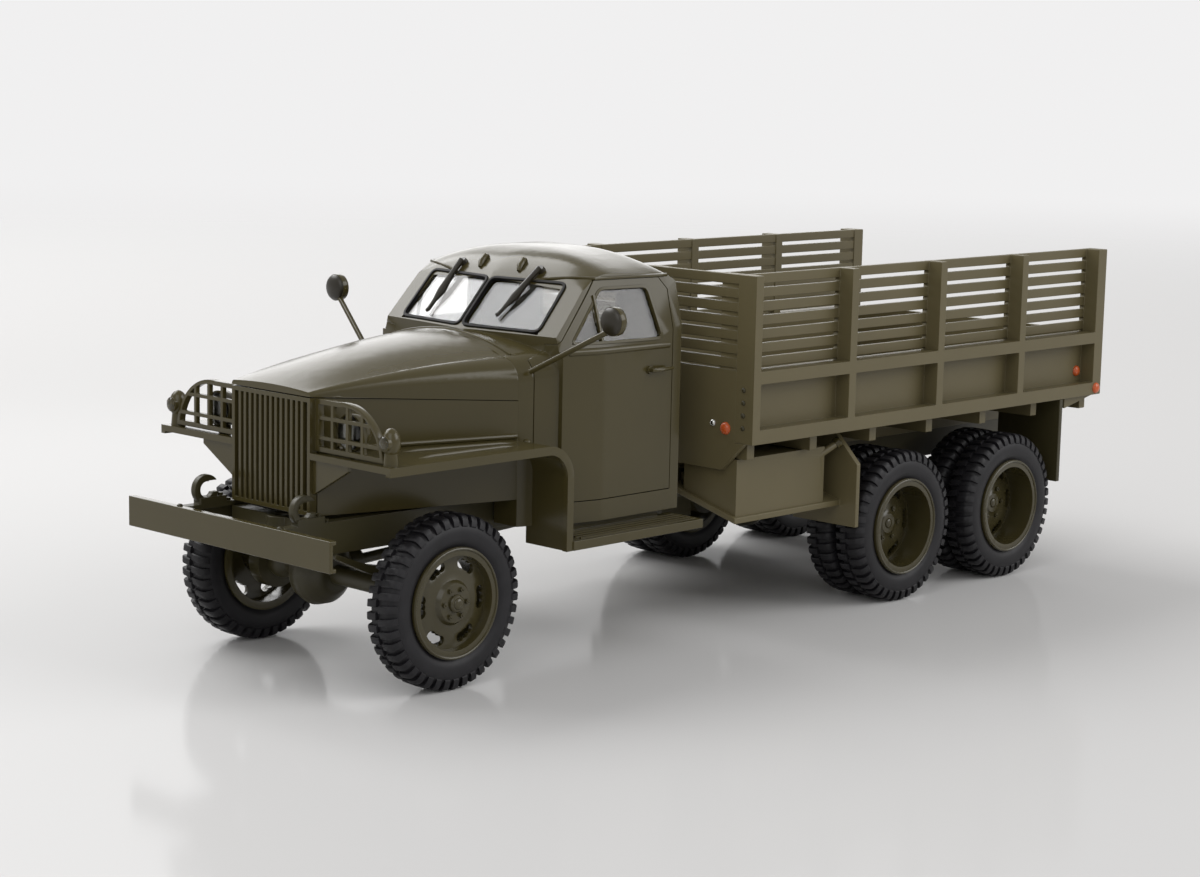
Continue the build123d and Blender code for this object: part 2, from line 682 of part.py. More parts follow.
def arched_section(x, half_w, shoulder_z, crest_z, bottom_z, radius):
    """A cross-section with upright sides, rounded shoulders and an arched top."""
    edge_y = half_w - radius
    edge_z = shoulder_z + (crest_z - shoulder_z) * 0.35
    bend = math.sqrt(0.5)
    sides = [
        Line((x, -half_w, bottom_z), (x, -half_w, edge_z - radius)),
        ThreePointArc((x, -half_w, edge_z - radius),
                      (x, -edge_y - radius * bend, edge_z - radius * (1 - bend)),
                      (x, -edge_y, edge_z)),
        ThreePointArc((x, -edge_y, edge_z), (x, 0, crest_z), (x, edge_y, edge_z)),
        ThreePointArc((x, edge_y, edge_z),
                      (x, edge_y + radius * bend, edge_z - radius * (1 - bend)),
                      (x, half_w, edge_z - radius)),
        Line((x, half_w, edge_z - radius), (x, half_w, bottom_z)),
        Line((x, half_w, bottom_z), (x, -half_w, bottom_z)),
    ]
    return make_face(sides)


def hood():
    """The top panel: a lofted shell, bowed between the narrow grille and the wide cowl."""
    middle_x = (GRILLE_X + HOOD_REAR_X) / 2
    middle_half_w = (GRILLE_HALF_W + HOOD_REAR_HALF_W) / 2
    shoulder_front = SEAM_FRONT_Z + 0.4
    middle_shoulder = (shoulder_front + HOOD_SHOULDER_Z + HOOD_BULGE) / 2
    middle_crest = (HOOD_CREST_FRONT + HOOD_CREST_REAR) / 2 + HOOD_BULGE
    middle_seam = (SEAM_FRONT_Z + SEAM_REAR_Z) / 2
    middle_r = (NOSE_EDGE_R + HOOD_EDGE_R) / 2
    rows = [
        # x, half width, shoulder, crest, seam, edge radius
        (GRILLE_X, GRILLE_HALF_W, shoulder_front, HOOD_CREST_FRONT, SEAM_FRONT_Z, NOSE_EDGE_R),
        (middle_x, middle_half_w, middle_shoulder, middle_crest, middle_seam, middle_r),
        (HOOD_REAR_X, HOOD_REAR_HALF_W, HOOD_SHOULDER_Z, HOOD_CREST_REAR, SEAM_REAR_Z, HOOD_EDGE_R),
    ]
    outer = loft([arched_section(*row) for row in rows])
    inner = []
    for (x, half_w, shoulder, crest, seam, radius), shift in zip(rows, (-SHEET, 0, -0.1)):
        inner.append(arched_section(x + shift, half_w - SHEET, shoulder - SHEET,
                                    crest - SHEET, seam - 2.0, radius))
    return outer - loft(inner)


def hood_side():
    """The flat panel from the hood seam down to the frame, splayed out towards the cowl."""
    front = (GRILLE_X - GRILLE_T - 0.1, GRILLE_HALF_W)
    rear = (HOOD_REAR_X, HOOD_REAR_HALF_W)
    length = math.hypot(front[0] - rear[0], front[1] - rear[1])
    plane = Plane(origin=(rear[0], rear[1], 0), x_dir=(front[0] - rear[0], front[1] - rear[1], 0),
                  z_dir=(front[1] - rear[1], rear[0] - front[0], 0))
    low = RAIL_TOP_Z + 0.3
    seam_slope = (SEAM_FRONT_Z - SEAM_REAR_Z) / (GRILLE_X - HOOD_REAR_X)
    front_z = SEAM_REAR_Z + seam_slope * (front[0] - rear[0]) - SEAM_GAP
    outline = Polyline((0, low), (length, low), (length, front_z), (0, SEAM_REAR_Z - SEAM_GAP), close=True)
    panel = extrude(plane * make_face(outline), amount=SHEET)
    return panel - block(GUARD_BACK_X - NOSE_GAP, GRILLE_X, 0, HOOD_REAR_HALF_W,
                         GUARD_Z0 - NOSE_GAP, GRILLE_Z1 + 1)


def front_fender():
    """A flat plate bent down behind the wheel, with a turned-down outer edge."""
    low_z = BOARD_Z
    bend_x = FENDER_REAR_X + FENDER_BEND_R
    bend_z = FENDER_TOP_Z - FENDER_BEND_R
    diagonal = math.sqrt(0.5)

    def bent(sheet, y0, y1):
        inner_r = FENDER_BEND_R - sheet
        corner = (bend_x - FENDER_BEND_R * diagonal, y0, bend_z + FENDER_BEND_R * diagonal)
        inner_corner = (bend_x - inner_r * diagonal, y0, bend_z + inner_r * diagonal)
        edges = [
            Line((GRILLE_X, y0, FENDER_TOP_Z), (bend_x, y0, FENDER_TOP_Z)),
            ThreePointArc((bend_x, y0, FENDER_TOP_Z), corner, (FENDER_REAR_X, y0, bend_z)),
            Line((FENDER_REAR_X, y0, bend_z), (FENDER_REAR_X, y0, low_z)),
            Line((FENDER_REAR_X, y0, low_z), (FENDER_REAR_X + sheet, y0, low_z)),
            Line((FENDER_REAR_X + sheet, y0, low_z), (FENDER_REAR_X + sheet, y0, bend_z)),
            ThreePointArc((FENDER_REAR_X + sheet, y0, bend_z), inner_corner,
                          (bend_x, y0, FENDER_TOP_Z - sheet)),
            Line((bend_x, y0, FENDER_TOP_Z - sheet), (GRILLE_X, y0, FENDER_TOP_Z - sheet)),
            Line((GRILLE_X, y0, FENDER_TOP_Z - sheet), (GRILLE_X, y0, FENDER_TOP_Z)),
        ]
        return extrude(make_face(edges), amount=y1 - y0, dir=(0, 1, 0))

    plate = bent(SHEET, GRILLE_HALF_W, FENDER_OUTER_Y)
    flange = bent(FENDER_FLANGE, FENDER_OUTER_Y - SHEET, FENDER_OUTER_Y)
    slope = (HOOD_REAR_HALF_W - GRILLE_HALF_W) / (GRILLE_X - HOOD_REAR_X)
    rear_inner = HOOD_REAR_HALF_W + (HOOD_REAR_X - FENDER_REAR_X) * slope
    engine_bay = prism_xy([
        (GRILLE_X + 5, GRILLE_HALF_W - 5 * slope - 0.01),
        (FENDER_REAR_X - 1, rear_inner + slope),
        (FENDER_REAR_X - 1, 0),
        (GRILLE_X + 5, 0),
    ], FENDER_TOP_Z - FENDER_BEND_R, FENDER_TOP_Z + 1)
    under = block(FENDER_REAR_X - 1, FENDER_REAR_X + SHEET + 2, 0, APRON_INNER_Y, 0, bend_z + 0.1)
    under_z = FENDER_TOP_Z - SHEET + 0.1
    gusset_y = GRILLE_HALF_W + GUSSET_REACH
    gusset_x = GRILLE_X - GRILLE_T
    gusset = prism_yz([
        (GRILLE_HALF_W, under_z),
        (gusset_y, under_z),
        (gusset_y, under_z - 0.8),
        (GRILLE_HALF_W, under_z - GUSSET_DROP),
    ], gusset_x, gusset_x + GUSSET_T)
    return (plate + flange - engine_bay - under) + gusset + hood_side() - cab_body(0)


def running_board():
    """A tread plate with a rolled outer edge and an upturned inner flange."""
    front = FENDER_REAR_X
    inner_y = APRON_INNER_Y + BOARD_GAP
    top_z = BOARD_Z + BOARD_T
    plate = block(BOARD_REAR_X, front, inner_y, BOARD_OUTER_Y, top_z - BOARD_SHEET, top_z)
    lip = block(BOARD_REAR_X, front, BOARD_OUTER_Y - BOARD_SHEET, BOARD_OUTER_Y, BOARD_Z, top_z)
    flange = block(CAB_REAR_X + 2.0, front, inner_y, inner_y + SHEET, top_z - BOARD_SHEET, CAB_BOTTOM_Z)
    return plate + lip + flange


def make_nose():
    guard = headlamp_guard()
    save("grille", grille() + guard + mirror(guard, Plane.XZ))
    radiator_x1 = GRILLE_X - GRILLE_T
    save("radiator", block(radiator_x1 - RADIATOR_T, radiator_x1, -GRILLE_HALF_W + SHEET + 0.1,
                           GRILLE_HALF_W - SHEET - 0.1, RAIL_TOP_Z, SEAM_FRONT_Z - 0.6))
    save_pair("headlamp", headlamp())
    save("hood", hood())
    save_pair("front_fender", front_fender())
    save_pair("running_board", running_board())


# Cab: one hollow shell with doors let into it

def cab_side_view(inset):
    """Side view of the cab: raked screen and upright rear, higher than the roof's skin."""
    rear = CAB_REAR_X + inset
    rake = (SCREEN_BASE_X - SCREEN_TOP_X) / (SCREEN_TOP_Z - SCREEN_BASE_Z)
    base_x = SCREEN_BASE_X - inset * math.hypot(1, rake)
    top_z = ROOF_Z + 1
    low = CAB_BOTTOM_Z - inset
    return make_face(Polyline(
        (base_x, 0, low),
        (base_x, 0, SCREEN_BASE_Z),
        (base_x - rake * (top_z - SCREEN_BASE_Z), 0, top_z),
        (rear, 0, top_z),
        (rear, 0, low),
        close=True))


def roof_height(x, y):
    """Height of the roof's smooth skin, which falls to the brow, both sides and the rear."""
    sweep = math.tan(math.radians(SCREEN_SWEEP))
    ahead = max(0, x + sweep * (math.hypot(y, 1) - 1) - ROOF_CREST_X) / (SCREEN_TOP_X - ROOF_CREST_X)
    behind = max(0, ROOF_CREST_X - x) / (ROOF_CREST_X - CAB_REAR_X)
    fall_front = (ROOF_Z - SCREEN_TOP_Z) * (ahead ** 3 if ahead < 1 else 1 + 2.4 * (ahead - 1))
    fall_rear = ROOF_REAR_FALL * behind ** 4
    fall_side = (ROOF_Z - GUTTER_Z) * abs(y / GUTTER_HALF_W) ** 2.3
    return ROOF_Z - ((fall_front + fall_rear) ** 2.5 + fall_side ** 2.5) ** 0.4


def under_roof():
    """All that lies under the roof's skin, lofted from sections along the truck."""
    x0, x1 = CAB_REAR_X - 0.5, SCREEN_BASE_X - 1.0
    reach = GUTTER_HALF_W + 1.5
    places = [reach * (2 * step / ROOF_STEPS - 1) for step in range(ROOF_STEPS + 1)]
    sections = []
    for step in range(ROOF_STEPS + 1):
        x = x0 + (x1 - x0) * step / ROOF_STEPS
        top = [(x, y, roof_height(x, y)) for y in places]
        foot = Polyline(top[-1], (x, reach, 0), (x, -reach, 0), top[0])
        sections.append(make_face([Spline(*top), foot]))
    over_cowl = block(x1 - 0.1, HOOD_REAR_X + 2, -reach, reach, 0, SCREEN_TOP_Z)
    return loft(sections) + over_cowl


def under_ceiling():
    """The room below the cab's ceiling, which stays under the roof's skin."""
    x1 = HOOD_REAR_X + 1
    x0 = CAB_REAR_X - 1
    half_w = GUTTER_HALF_W + 2
    side = prism_xz([
        (x1, 0),
        (x1, SCREEN_TOP_Z - 1.3),
        (SCREEN_TOP_X - 0.9, SCREEN_TOP_Z - 1.3),
        (SCREEN_TOP_X - 3.9, ROOF_Z - 2.5),
        (SCREEN_TOP_X - 6.9, ROOF_Z - 1.1),
        (CAB_REAR_X + 2.8, ROOF_Z - 1.1),
        (CAB_REAR_X + 0.9, ROOF_Z - 3.4),
        (x0, ROOF_Z - 3.4),
        (x0, 0),
    ], -half_w, half_w)
    front = prism_yz([
        (half_w, 0),
        (half_w, GUTTER_Z - 1.0),
        (GUTTER_HALF_W - 1.4, GUTTER_Z - 1.0),
        (GUTTER_HALF_W * 0.65, ROOF_Z - 2.5),
        (0, ROOF_Z - 1.1),
        (-GUTTER_HALF_W * 0.65, ROOF_Z - 2.5),
        (1.4 - GUTTER_HALF_W, GUTTER_Z - 1.0),
        (-half_w, GUTTER_Z - 1.0),
        (-half_w, 0),
    ], x0, x1)
    return side & front


def plan_face(rows, z):
    """A plan outline at z from (x, half width) rows on both sides."""
    left = [(x, half_w, z) for x, half_w in rows]
    right = [(x, -half_w, z) for x, half_w in reversed(rows)]
    return make_face(Polyline(*(left + right), close=True))


def cab_sides(inset):
    """The plan below the belt, and above it the sides that lean in towards the roof."""
    bend_x = DOOR_FRONT_X - DOOR_BEND
    top_z = ROOF_Z + 1
    belt_z = BELT_Z - inset
    rows = [
        # x, half width below the belt, above it, and at the gutter
        (HOOD_REAR_X + 1, HOOD_REAR_HALF_W, HOOD_REAR_HALF_W - 0.2, HOOD_REAR_HALF_W - 2.5),
        (DOOR_FRONT_X, PILLAR_HALF_W, BELT_FRONT_HALF_W, BELT_FRONT_HALF_W - 2.3),
        (bend_x, CAB_HALF_W - 0.6, CAB_HALF_W - 1.1, GUTTER_FRONT_HALF_W),
        (CAB_REAR_X, CAB_HALF_W, CAB_HALF_W, GUTTER_HALF_W),
    ]
    lower = plan_face([(x, low - inset) for x, low, _, _ in rows], CAB_BOTTOM_Z - inset)
    lean = (top_z - BELT_Z) / (GUTTER_Z - BELT_Z)
    lean_low = (belt_z - BELT_Z) / (GUTTER_Z - BELT_Z)
    foot = plan_face([(x, belt + (top - belt) * lean_low - inset) for x, _, belt, top in rows], belt_z)
    head = plan_face([(x, belt + (top - belt) * lean - inset) for x, _, belt, top in rows], top_z)
    below = extrude(lower, amount=belt_z - CAB_BOTTOM_Z + inset, dir=(0, 0, 1))
    return below + loft([foot, head], ruled=True)


def cab_body(inset):
    """The cab's outer or inner form without its roof: side view and sides, cut together."""
    side = cab_side_view(inset)
    sweep = math.tan(math.radians(SCREEN_SWEEP))
    reach = CAB_HALF_W + 2
    length = reach * math.hypot(1, sweep)
    swept = extrude(side, amount=length, dir=(-sweep, 1, 0))
    front_half = swept + mirror(swept, Plane.XZ)
    join_x = (HOOD_REAR_X + CAB_REAR_X) / 2 - 1
    front_part = front_half & block(join_x, HOOD_REAR_X + 1, -reach, reach, 0, ROOF_Z + 1)
    low = CAB_BOTTOM_Z - inset
    cowl = loft([
        arched_section(HOOD_REAR_X - inset, HOOD_REAR_HALF_W - inset, HOOD_SHOULDER_Z - inset,
                       HOOD_CREST_REAR - inset, low, HOOD_EDGE_R),
        arched_section(COWL_REAR_X, PILLAR_HALF_W + 0.8 - inset, BELT_Z - 0.4 - inset,
                       SCREEN_BASE_Z - inset, low, HOOD_EDGE_R),
    ])
    straight = extrude(side, amount=2 * reach, dir=(0, 1, 0))
    rear_part = (Pos(0, -reach, 0) * straight) & block(CAB_REAR_X - 1, join_x, -reach, reach, 0, ROOF_Z + 1)
    return (front_part + rear_part + cowl) & cab_sides(inset)


def door_outline(gap):
    """Door seam in side view, as (x, z) points."""
    return [
        (DOOR_FRONT_X + gap, BELT_Z - 1.0),
        (DOOR_FRONT_X - 3.9 + gap, BELT_Z + 1.4),
        (DOOR_FRONT_X - 10.2 + gap, DOOR_TOP_Z + gap),
        (DOOR_REAR_X + 1.2, DOOR_TOP_Z + gap),
        (DOOR_REAR_X - gap, DOOR_TOP_Z - 1.5),
        (DOOR_REAR_X - gap, DOOR_BOTTOM_Z - gap),
        (DOOR_FRONT_X - 3.6 + gap, DOOR_BOTTOM_Z - gap),
        (DOOR_FRONT_X + gap, DOOR_BOTTOM_Z + 4.5),
    ]


def door_window_outline(grow):
    return [
        (DOOR_FRONT_X - 5.2 + grow, BELT_Z + 0.9 - grow),
        (DOOR_FRONT_X - 10.9 + grow * 0.6, DOOR_TOP_Z - 1.0 + grow),
        (DOOR_REAR_X + 3.4, DOOR_TOP_Z - 1.0 + grow),
        (DOOR_REAR_X + 2.0 - grow, BELT_Z + 0.9 - grow),
    ]


def make_cab():
    outer = cab_body(0) & under_roof()
    inner = cab_body(CAB_WALL) & under_ceiling()
    floor_top = CAB_FLOOR_Z + CAB_WALL
    floor = inner & block(CAB_REAR_X, HOOD_REAR_X, -CAB_HALF_W, CAB_HALF_W, CAB_FLOOR_Z, floor_top)
    tunnel = block(CAB_REAR_X - 1, HOOD_REAR_X + 1, -TUNNEL_HALF_W, TUNNEL_HALF_W,
                   CAB_BOTTOM_Z - 1, CAB_FLOOR_Z)
    reach = CAB_HALF_W + 2
    middle = PILLAR_HALF_W - 2.3
    pane = windscreen_zone()
    screen = pane + mirror(pane, Plane.XZ)
    rear_window = block(CAB_REAR_X - 1, CAB_REAR_X + CAB_WALL + 1, -REAR_WINDOW_HALF_W, REAR_WINDOW_HALF_W,
                        BELT_Z + 1.2, BELT_Z + 1.2 + REAR_WINDOW_H)
    skin = outer - inner
    door_zone = prism_xz(door_outline(0), middle, reach)
    window = prism_xz(door_window_outline(0), middle, reach)
    opening = prism_xz(door_outline(SEAM), middle, reach)
    openings = opening + mirror(opening, Plane.XZ)
    save("cab_shell", skin - openings + floor - tunnel - screen - rear_window)
    save_pair("door", (skin & door_zone) - window)
    glazing = cab_body((CAB_WALL - GLASS_T) / 2) - cab_body((CAB_WALL + GLASS_T) / 2)
    save_pair("door_glass", glazing & window)
    save_pair("windshield_glass", glazing & pane)
    save("rear_glass", glazing & rear_window)
    seat_x0 = CAB_REAR_X + CAB_WALL + 0.4
    back_top = SEAT_TOP_Z + SEAT_BACK_H
    base = block(seat_x0, seat_x0 + SEAT_L, -SEAT_HALF_W, SEAT_HALF_W, floor_top, SEAT_TOP_Z)
    back = prism_xz([
        (seat_x0, SEAT_TOP_Z),
        (seat_x0 + SEAT_BACK_T, SEAT_TOP_Z),
        (seat_x0 + SEAT_BACK_T / 2, back_top),
        (seat_x0, back_top),
    ], -SEAT_HALF_W, SEAT_HALF_W)
    save("bench_seat", base + back)
    dash_x1 = HOOD_REAR_X - CAB_WALL - 0.05
    dash_z0 = DASH_TOP_Z - DASH_H
    dash = prism_xz([
        (dash_x1, dash_z0),
        (dash_x1, DASH_TOP_Z - 0.4),
        (SCREEN_BASE_X - 3.0, DASH_TOP_Z),
        (SCREEN_BASE_X - 4.0, DASH_TOP_Z - 1.4),
        (SCREEN_BASE_X - 2.6, dash_z0 + 0.5),
    ], -DASH_HALF_W, DASH_HALF_W)
    column_top = Vector(SCREEN_BASE_X - 9.0, WHEEL_Y, WHEEL_TOP_Z)
    column_foot = Vector(HOOD_REAR_X - CAB_WALL - 1.2, WHEEL_Y, dash_z0 - 1.0)
    column = rod(column_foot, column_top, COLUMN_R)
    plane = Plane(origin=column_top, z_dir=(column_top - column_foot).normalized())
    ring = plane * Torus(WHEEL_RING_R, WHEEL_WIRE)
    spoke = Pos(WHEEL_RING_R / 2, 0, 0) * Box(WHEEL_RING_R, 0.5, 0.4)
    spokes = [plane * Rot(0, 0, turn) * spoke for turn in (0, 120, 240)]
    save("dashboard", fused([dash, column, ring] + spokes))


def windscreen_zone():
    """The left pane's opening, cut straight back through the raked screen."""
    return prism_yz([
        (0.35, SCREEN_BASE_Z + SCREEN_MARGIN),
        (SCREEN_HALF_W, SCREEN_BASE_Z + SCREEN_MARGIN - 0.4),
        (SCREEN_HALF_W - 0.9, SCREEN_TOP_Z - SCREEN_MARGIN - 0.6),
        (0.35, SCREEN_TOP_Z - SCREEN_MARGIN),
    ], SCREEN_TOP_X - 4.5, SCREEN_BASE_X + 3.0)


# Cargo bed: floor on sills, slatted sides and front, plain tailgate

def slat_rows():
    """Bottom and top of each slat above the middle rail."""
    low = BED_MID_Z1 + RACK_BASE_GAP
    pitch = (BED_TOP_Z - low + SLAT_GAP) / SLATS
    return [(low + pitch * number, low + pitch * (number + 1) - SLAT_GAP) for number in range(SLATS)]


def bed_side():
    """Deep rails and posts around recessed boards, with the slatted rack above."""
    outer = BED_HALF_W
    board_y = outer - BED_PANEL_INSET
    slat_y = outer - RACK_INSET
    x0, x1 = REAR_X, BED_FRONT_X
    pieces = [
        block(x0, x1, BED_INNER_Y, outer, BED_RAIL_Z0, BED_RAIL_Z0 + BED_RAIL_H),
        block(x0, x1, BED_INNER_Y, outer, BED_MID_Z1 - BED_MID_H, BED_MID_Z1),
        block(x0, x1, BED_INNER_Y, board_y, BED_RAIL_Z0, BED_MID_Z1),
    ]
    for z0, z1 in slat_rows():
        pieces.append(block(x0, x1, slat_y - SLAT_T, slat_y, z0, z1))
    posts = [(x1 - BED_POST_W - POST_PITCH * number, BED_POST_W) for number in range(BED_BAYS)]
    for x, width in posts + [(x0, BED_END_POST_W)]:
        pieces.append(block(x, x + width, BED_INNER_Y, outer, BED_RAIL_Z0, BED_TOP_Z))
    wedge = [
        (x0, BED_RAIL_Z0 + 0.1),
        (x0, BED_RAIL_Z0),
        (x0 + TAIL_WEDGE_L, BED_RAIL_Z0 - TAIL_WEDGE_H),
        (x0 + TAIL_WEDGE_L, BED_RAIL_Z0 + 0.1),
    ]
    pieces.append(prism_xz(wedge, SILL_REACH, SILL_REACH + TAIL_WEDGE_T))
    return fused(pieces)


def bed_front():
    """Slatted front rack over a solid lower board with chamfered corners."""
    x1 = BED_FRONT_X
    x0 = x1 - BED_PANEL_T
    inner = BED_INNER_Y
    low = BED_RAIL_Z0 - BOARD_DROP
    corner_y = BED_HALF_W - BOARD_INSET
    foot_y = corner_y - BOARD_DROP
    pieces = [
        block(x0, x1, -inner, inner, BED_RAIL_Z0 - 0.1, BED_MID_Z1),
        prism_yz([(-corner_y, BED_RAIL_Z0), (corner_y, BED_RAIL_Z0), (foot_y, low), (-foot_y, low)], x0, x1),
    ]
    for z0, z1 in slat_rows():
        pieces.append(block(x0, x1, -inner, inner, z0, z1))
    half = RACK_POST_W / 2
    for y in (-inner + half, -inner / 3, inner / 3, inner - half):
        pieces.append(block(x0 - 0.6, x1 - 0.1, y - half, y + half, BED_MID_Z1, BED_TOP_Z))
    return fused(pieces)


def bed_floor():
    """Deck on cross sills, which sit on two long sills over the frame."""
    inner = BED_INNER_Y
    deck = block(REAR_X + BED_PANEL_T, BED_FRONT_X - BED_PANEL_T, -inner, inner, FLOOR_Z0, FLOOR_Z0 + FLOOR_T)
    pieces = [deck]
    pitch = (BED_FRONT_X - REAR_X - 2 * SILL_END) / (SILLS - 1)
    for number in range(SILLS):
        x = REAR_X + SILL_END + pitch * number
        pieces.append(block(x - SILL_W / 2, x + SILL_W / 2, -SILL_REACH, SILL_REACH, SILL_Z0, BED_RAIL_Z0))
        pieces.append(block(x - SILL_W / 2, x + SILL_W / 2, -inner, inner, SILL_Z0, FLOOR_Z0))
    for side in (-1, 1):
        pieces.append(block(REAR_X + 1.0, BED_FRONT_X - 1.0, side * RAIL_MID_Y - LONG_SILL_W / 2,
                            side * RAIL_MID_Y + LONG_SILL_W / 2, RAIL_TOP_Z, SILL_Z0))
    shape = fused(pieces)
    for x in (FLAP_FRONT_X, FLAP_REAR_X):
        for side in (-1, 1):
            shape = shape - block(x - FLAP_SLOT, x + FLAP_T + FLAP_SLOT, side * (FLAP_INNER_Y - FLAP_SLOT),
                                  side * (FLAP_OUTER_Y + FLAP_SLOT), SILL_Z0 - 1, FLOOR_Z0)
    return shape


def tailgate():
    """A ribbed panel between the sides."""
    inner = BED_INNER_Y
    x0 = REAR_X
    x1 = x0 + BED_PANEL_T
    rib = GATE_RIB_W / 2
    pieces = [block(x0 + GATE_STEP, x1, -inner, inner, BED_RAIL_Z0, BED_MID_Z1)]
    for y in (-inner + rib, -inner / 3, inner / 3, inner - rib):
        pieces.append(block(x0, x1, y - rib, y + rib, BED_RAIL_Z0, BED_MID_Z1))
    for z in (BED_RAIL_Z0, BED_MID_Z1 - GATE_RAIL_H):
        pieces.append(block(x0, x1, -inner, inner, z, z + GATE_RAIL_H))
    return fused(pieces)


def tray_z(y):
    """Underside of the side tray, which rises from its outer edge to the frame."""
    return TANK_Z0 - TRAY_T + (TANK_OUTER_Y - y) * TRAY_RISE


def side_box():
    """A closed box whose underside follows the sloping tray."""
    return prism_yz([
        (TANK_INNER_Y, tray_z(TANK_INNER_Y) + TRAY_T),
        (TANK_OUTER_Y, TANK_Z0),
        (TANK_OUTER_Y, TANK_Z1),
        (TANK_INNER_Y, TANK_Z1),
    ], TANK_REAR_X, TANK_FRONT_X)


def side_tray():
    """Sloping bearer tray with its frame hanger, and the flap ahead of the rear wheels."""
    lip_y = TANK_OUTER_Y + 0.4
    tray = prism_yz([
        (RAIL_OUTER_Y, tray_z(RAIL_OUTER_Y)),
        (lip_y, tray_z(lip_y)),
        (lip_y, tray_z(lip_y) + TRAY_T),
        (RAIL_OUTER_Y, tray_z(RAIL_OUTER_Y) + TRAY_T),
    ], FLAP_FRONT_X, TANK_FRONT_X + 0.6)
    hanger = block(TANK_REAR_X + 2, TANK_FRONT_X - 2, RAIL_OUTER_Y, RAIL_OUTER_Y + 0.8,
                   tray_z(RAIL_OUTER_Y), RAIL_TOP_Z - 0.5)
    flap = mudflap(FLAP_FRONT_X, FLAP_FRONT_Z0, FLOOR_Z0 - 0.1, FLAP_CHAMFER)
    return tray + hanger + flap


def mudflap(x, z0, z1, chamfer):
    """A plate hung under the bed, with its outer top corner cut off by the chamfer."""
    y0, y1 = FLAP_INNER_Y, FLAP_OUTER_Y
    top = [(y1, z1 - chamfer), (y1 - chamfer, z1)] if chamfer else [(y1, z1)]
    return prism_yz([(y0, z0), (y1, z0)] + top + [(y0, z1)], x, x + FLAP_T)


def mirror_head():
    """Stalk from the cowl and a round head."""
    foot = (MIRROR_FOOT_X, MIRROR_FOOT_Y, MIRROR_FOOT_Z)
    head = (MIRROR_X, MIRROR_Y, MIRROR_Z - MIRROR_R / 2)
    plate = Pos(MIRROR_X, MIRROR_Y, MIRROR_Z) * Rot(0, 90, 0) * Cylinder(MIRROR_R, MIRROR_T)
    return rod(foot, head, STALK_R) + plate


def make_bed():
    save("bed_floor", bed_floor())
    save_pair("bed_side", bed_side())
    save("bed_front", bed_front())
    save("tailgate", tailgate())
    pipe = rod((TANK_REAR_X + 1.4, TANK_OUTER_Y - 0.6, TANK_Z1 - 1.6),
               (TANK_REAR_X - 2.6, TANK_OUTER_Y + 0.4, TANK_Z1 + 0.5), FILLER_R)
    save("fuel_tank", side_box() + pipe)
    save("tool_box", mirror(side_box(), Plane.XZ))
    save_pair("side_tray", side_tray())
    save_pair("mudflap_rear", mudflap(FLAP_REAR_X, FLAP_REAR_Z0, BED_RAIL_Z0 - 0.05, 0))


make_wheels()
make_axles()
make_frame()
make_springs()
make_driveline()
make_nose()
make_cab()
make_bed()
save_pair("mirror", mirror_head())
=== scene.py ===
import math

import bpy
from mathutils import Matrix, Vector
from mathutils.bvhtree import BVHTree


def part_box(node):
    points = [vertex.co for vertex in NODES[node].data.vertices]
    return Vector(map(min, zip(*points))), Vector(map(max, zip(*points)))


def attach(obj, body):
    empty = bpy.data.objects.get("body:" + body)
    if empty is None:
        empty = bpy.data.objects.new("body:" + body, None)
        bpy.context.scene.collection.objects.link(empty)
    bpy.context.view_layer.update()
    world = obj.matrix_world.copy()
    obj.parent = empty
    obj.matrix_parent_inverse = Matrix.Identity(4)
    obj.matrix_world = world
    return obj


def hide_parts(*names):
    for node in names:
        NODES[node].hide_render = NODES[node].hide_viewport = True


# Looks of the scale model cargo truck. Sizes are in millimetres, colours are linear.
# +X is forward, +Y is the truck's left, +Z is up.

MM = 0.001
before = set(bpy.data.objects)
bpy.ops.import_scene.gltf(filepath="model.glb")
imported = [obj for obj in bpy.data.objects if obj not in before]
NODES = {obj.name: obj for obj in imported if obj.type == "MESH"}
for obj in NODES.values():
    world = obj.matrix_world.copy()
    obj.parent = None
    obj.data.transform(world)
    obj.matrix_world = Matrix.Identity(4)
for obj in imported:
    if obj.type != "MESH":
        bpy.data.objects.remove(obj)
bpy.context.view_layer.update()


def span(node):
    """Lowest and highest corner of a CAD node."""
    low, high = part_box(node)
    return low / MM, high / MM


# Places read from the frame
FRONT_TYRE_LOW, FRONT_TYRE_HIGH = span("tyre_front_left")
AXLE_X = (FRONT_TYRE_LOW.x + FRONT_TYRE_HIGH.x) / 2
TYRE_R = (FRONT_TYRE_HIGH.z - FRONT_TYRE_LOW.z) / 2
AXLE_Z = TYRE_R
TYRE_W = FRONT_TYRE_HIGH.y - FRONT_TYRE_LOW.y
MID_TYRE_LOW, MID_TYRE_HIGH = span("tyre_mid_left")
TWIN_PITCH = MID_TYRE_HIGH.y - MID_TYRE_LOW.y - TYRE_W
RIM_FLANGE_R = (span("wheel_front_left")[1].z - span("wheel_front_left")[0].z) / 2
MID_X = (MID_TYRE_LOW.x + MID_TYRE_HIGH.x) / 2
REAR_TYRE_LOW, REAR_TYRE_HIGH = span("tyre_rear_left")
REAR_X = (REAR_TYRE_LOW.x + REAR_TYRE_HIGH.x) / 2

# Camera, as solved from the photograph: its place, the way it looks and its lens
CAMERA_PLACE = Vector((258.955, 238.207, 77.547))
CAMERA_AZIMUTH = math.radians(43.78)
CAMERA_ELEVATION = math.radians(8.835)
CAMERA_ROLL = math.radians(1.226)
CAMERA_LENS = 75.74
CAMERA_SENSOR_W = 36.0

# Nearest and farthest that the camera sees, in metres
CAMERA_NEAR = 0.01
CAMERA_FAR = 50.0

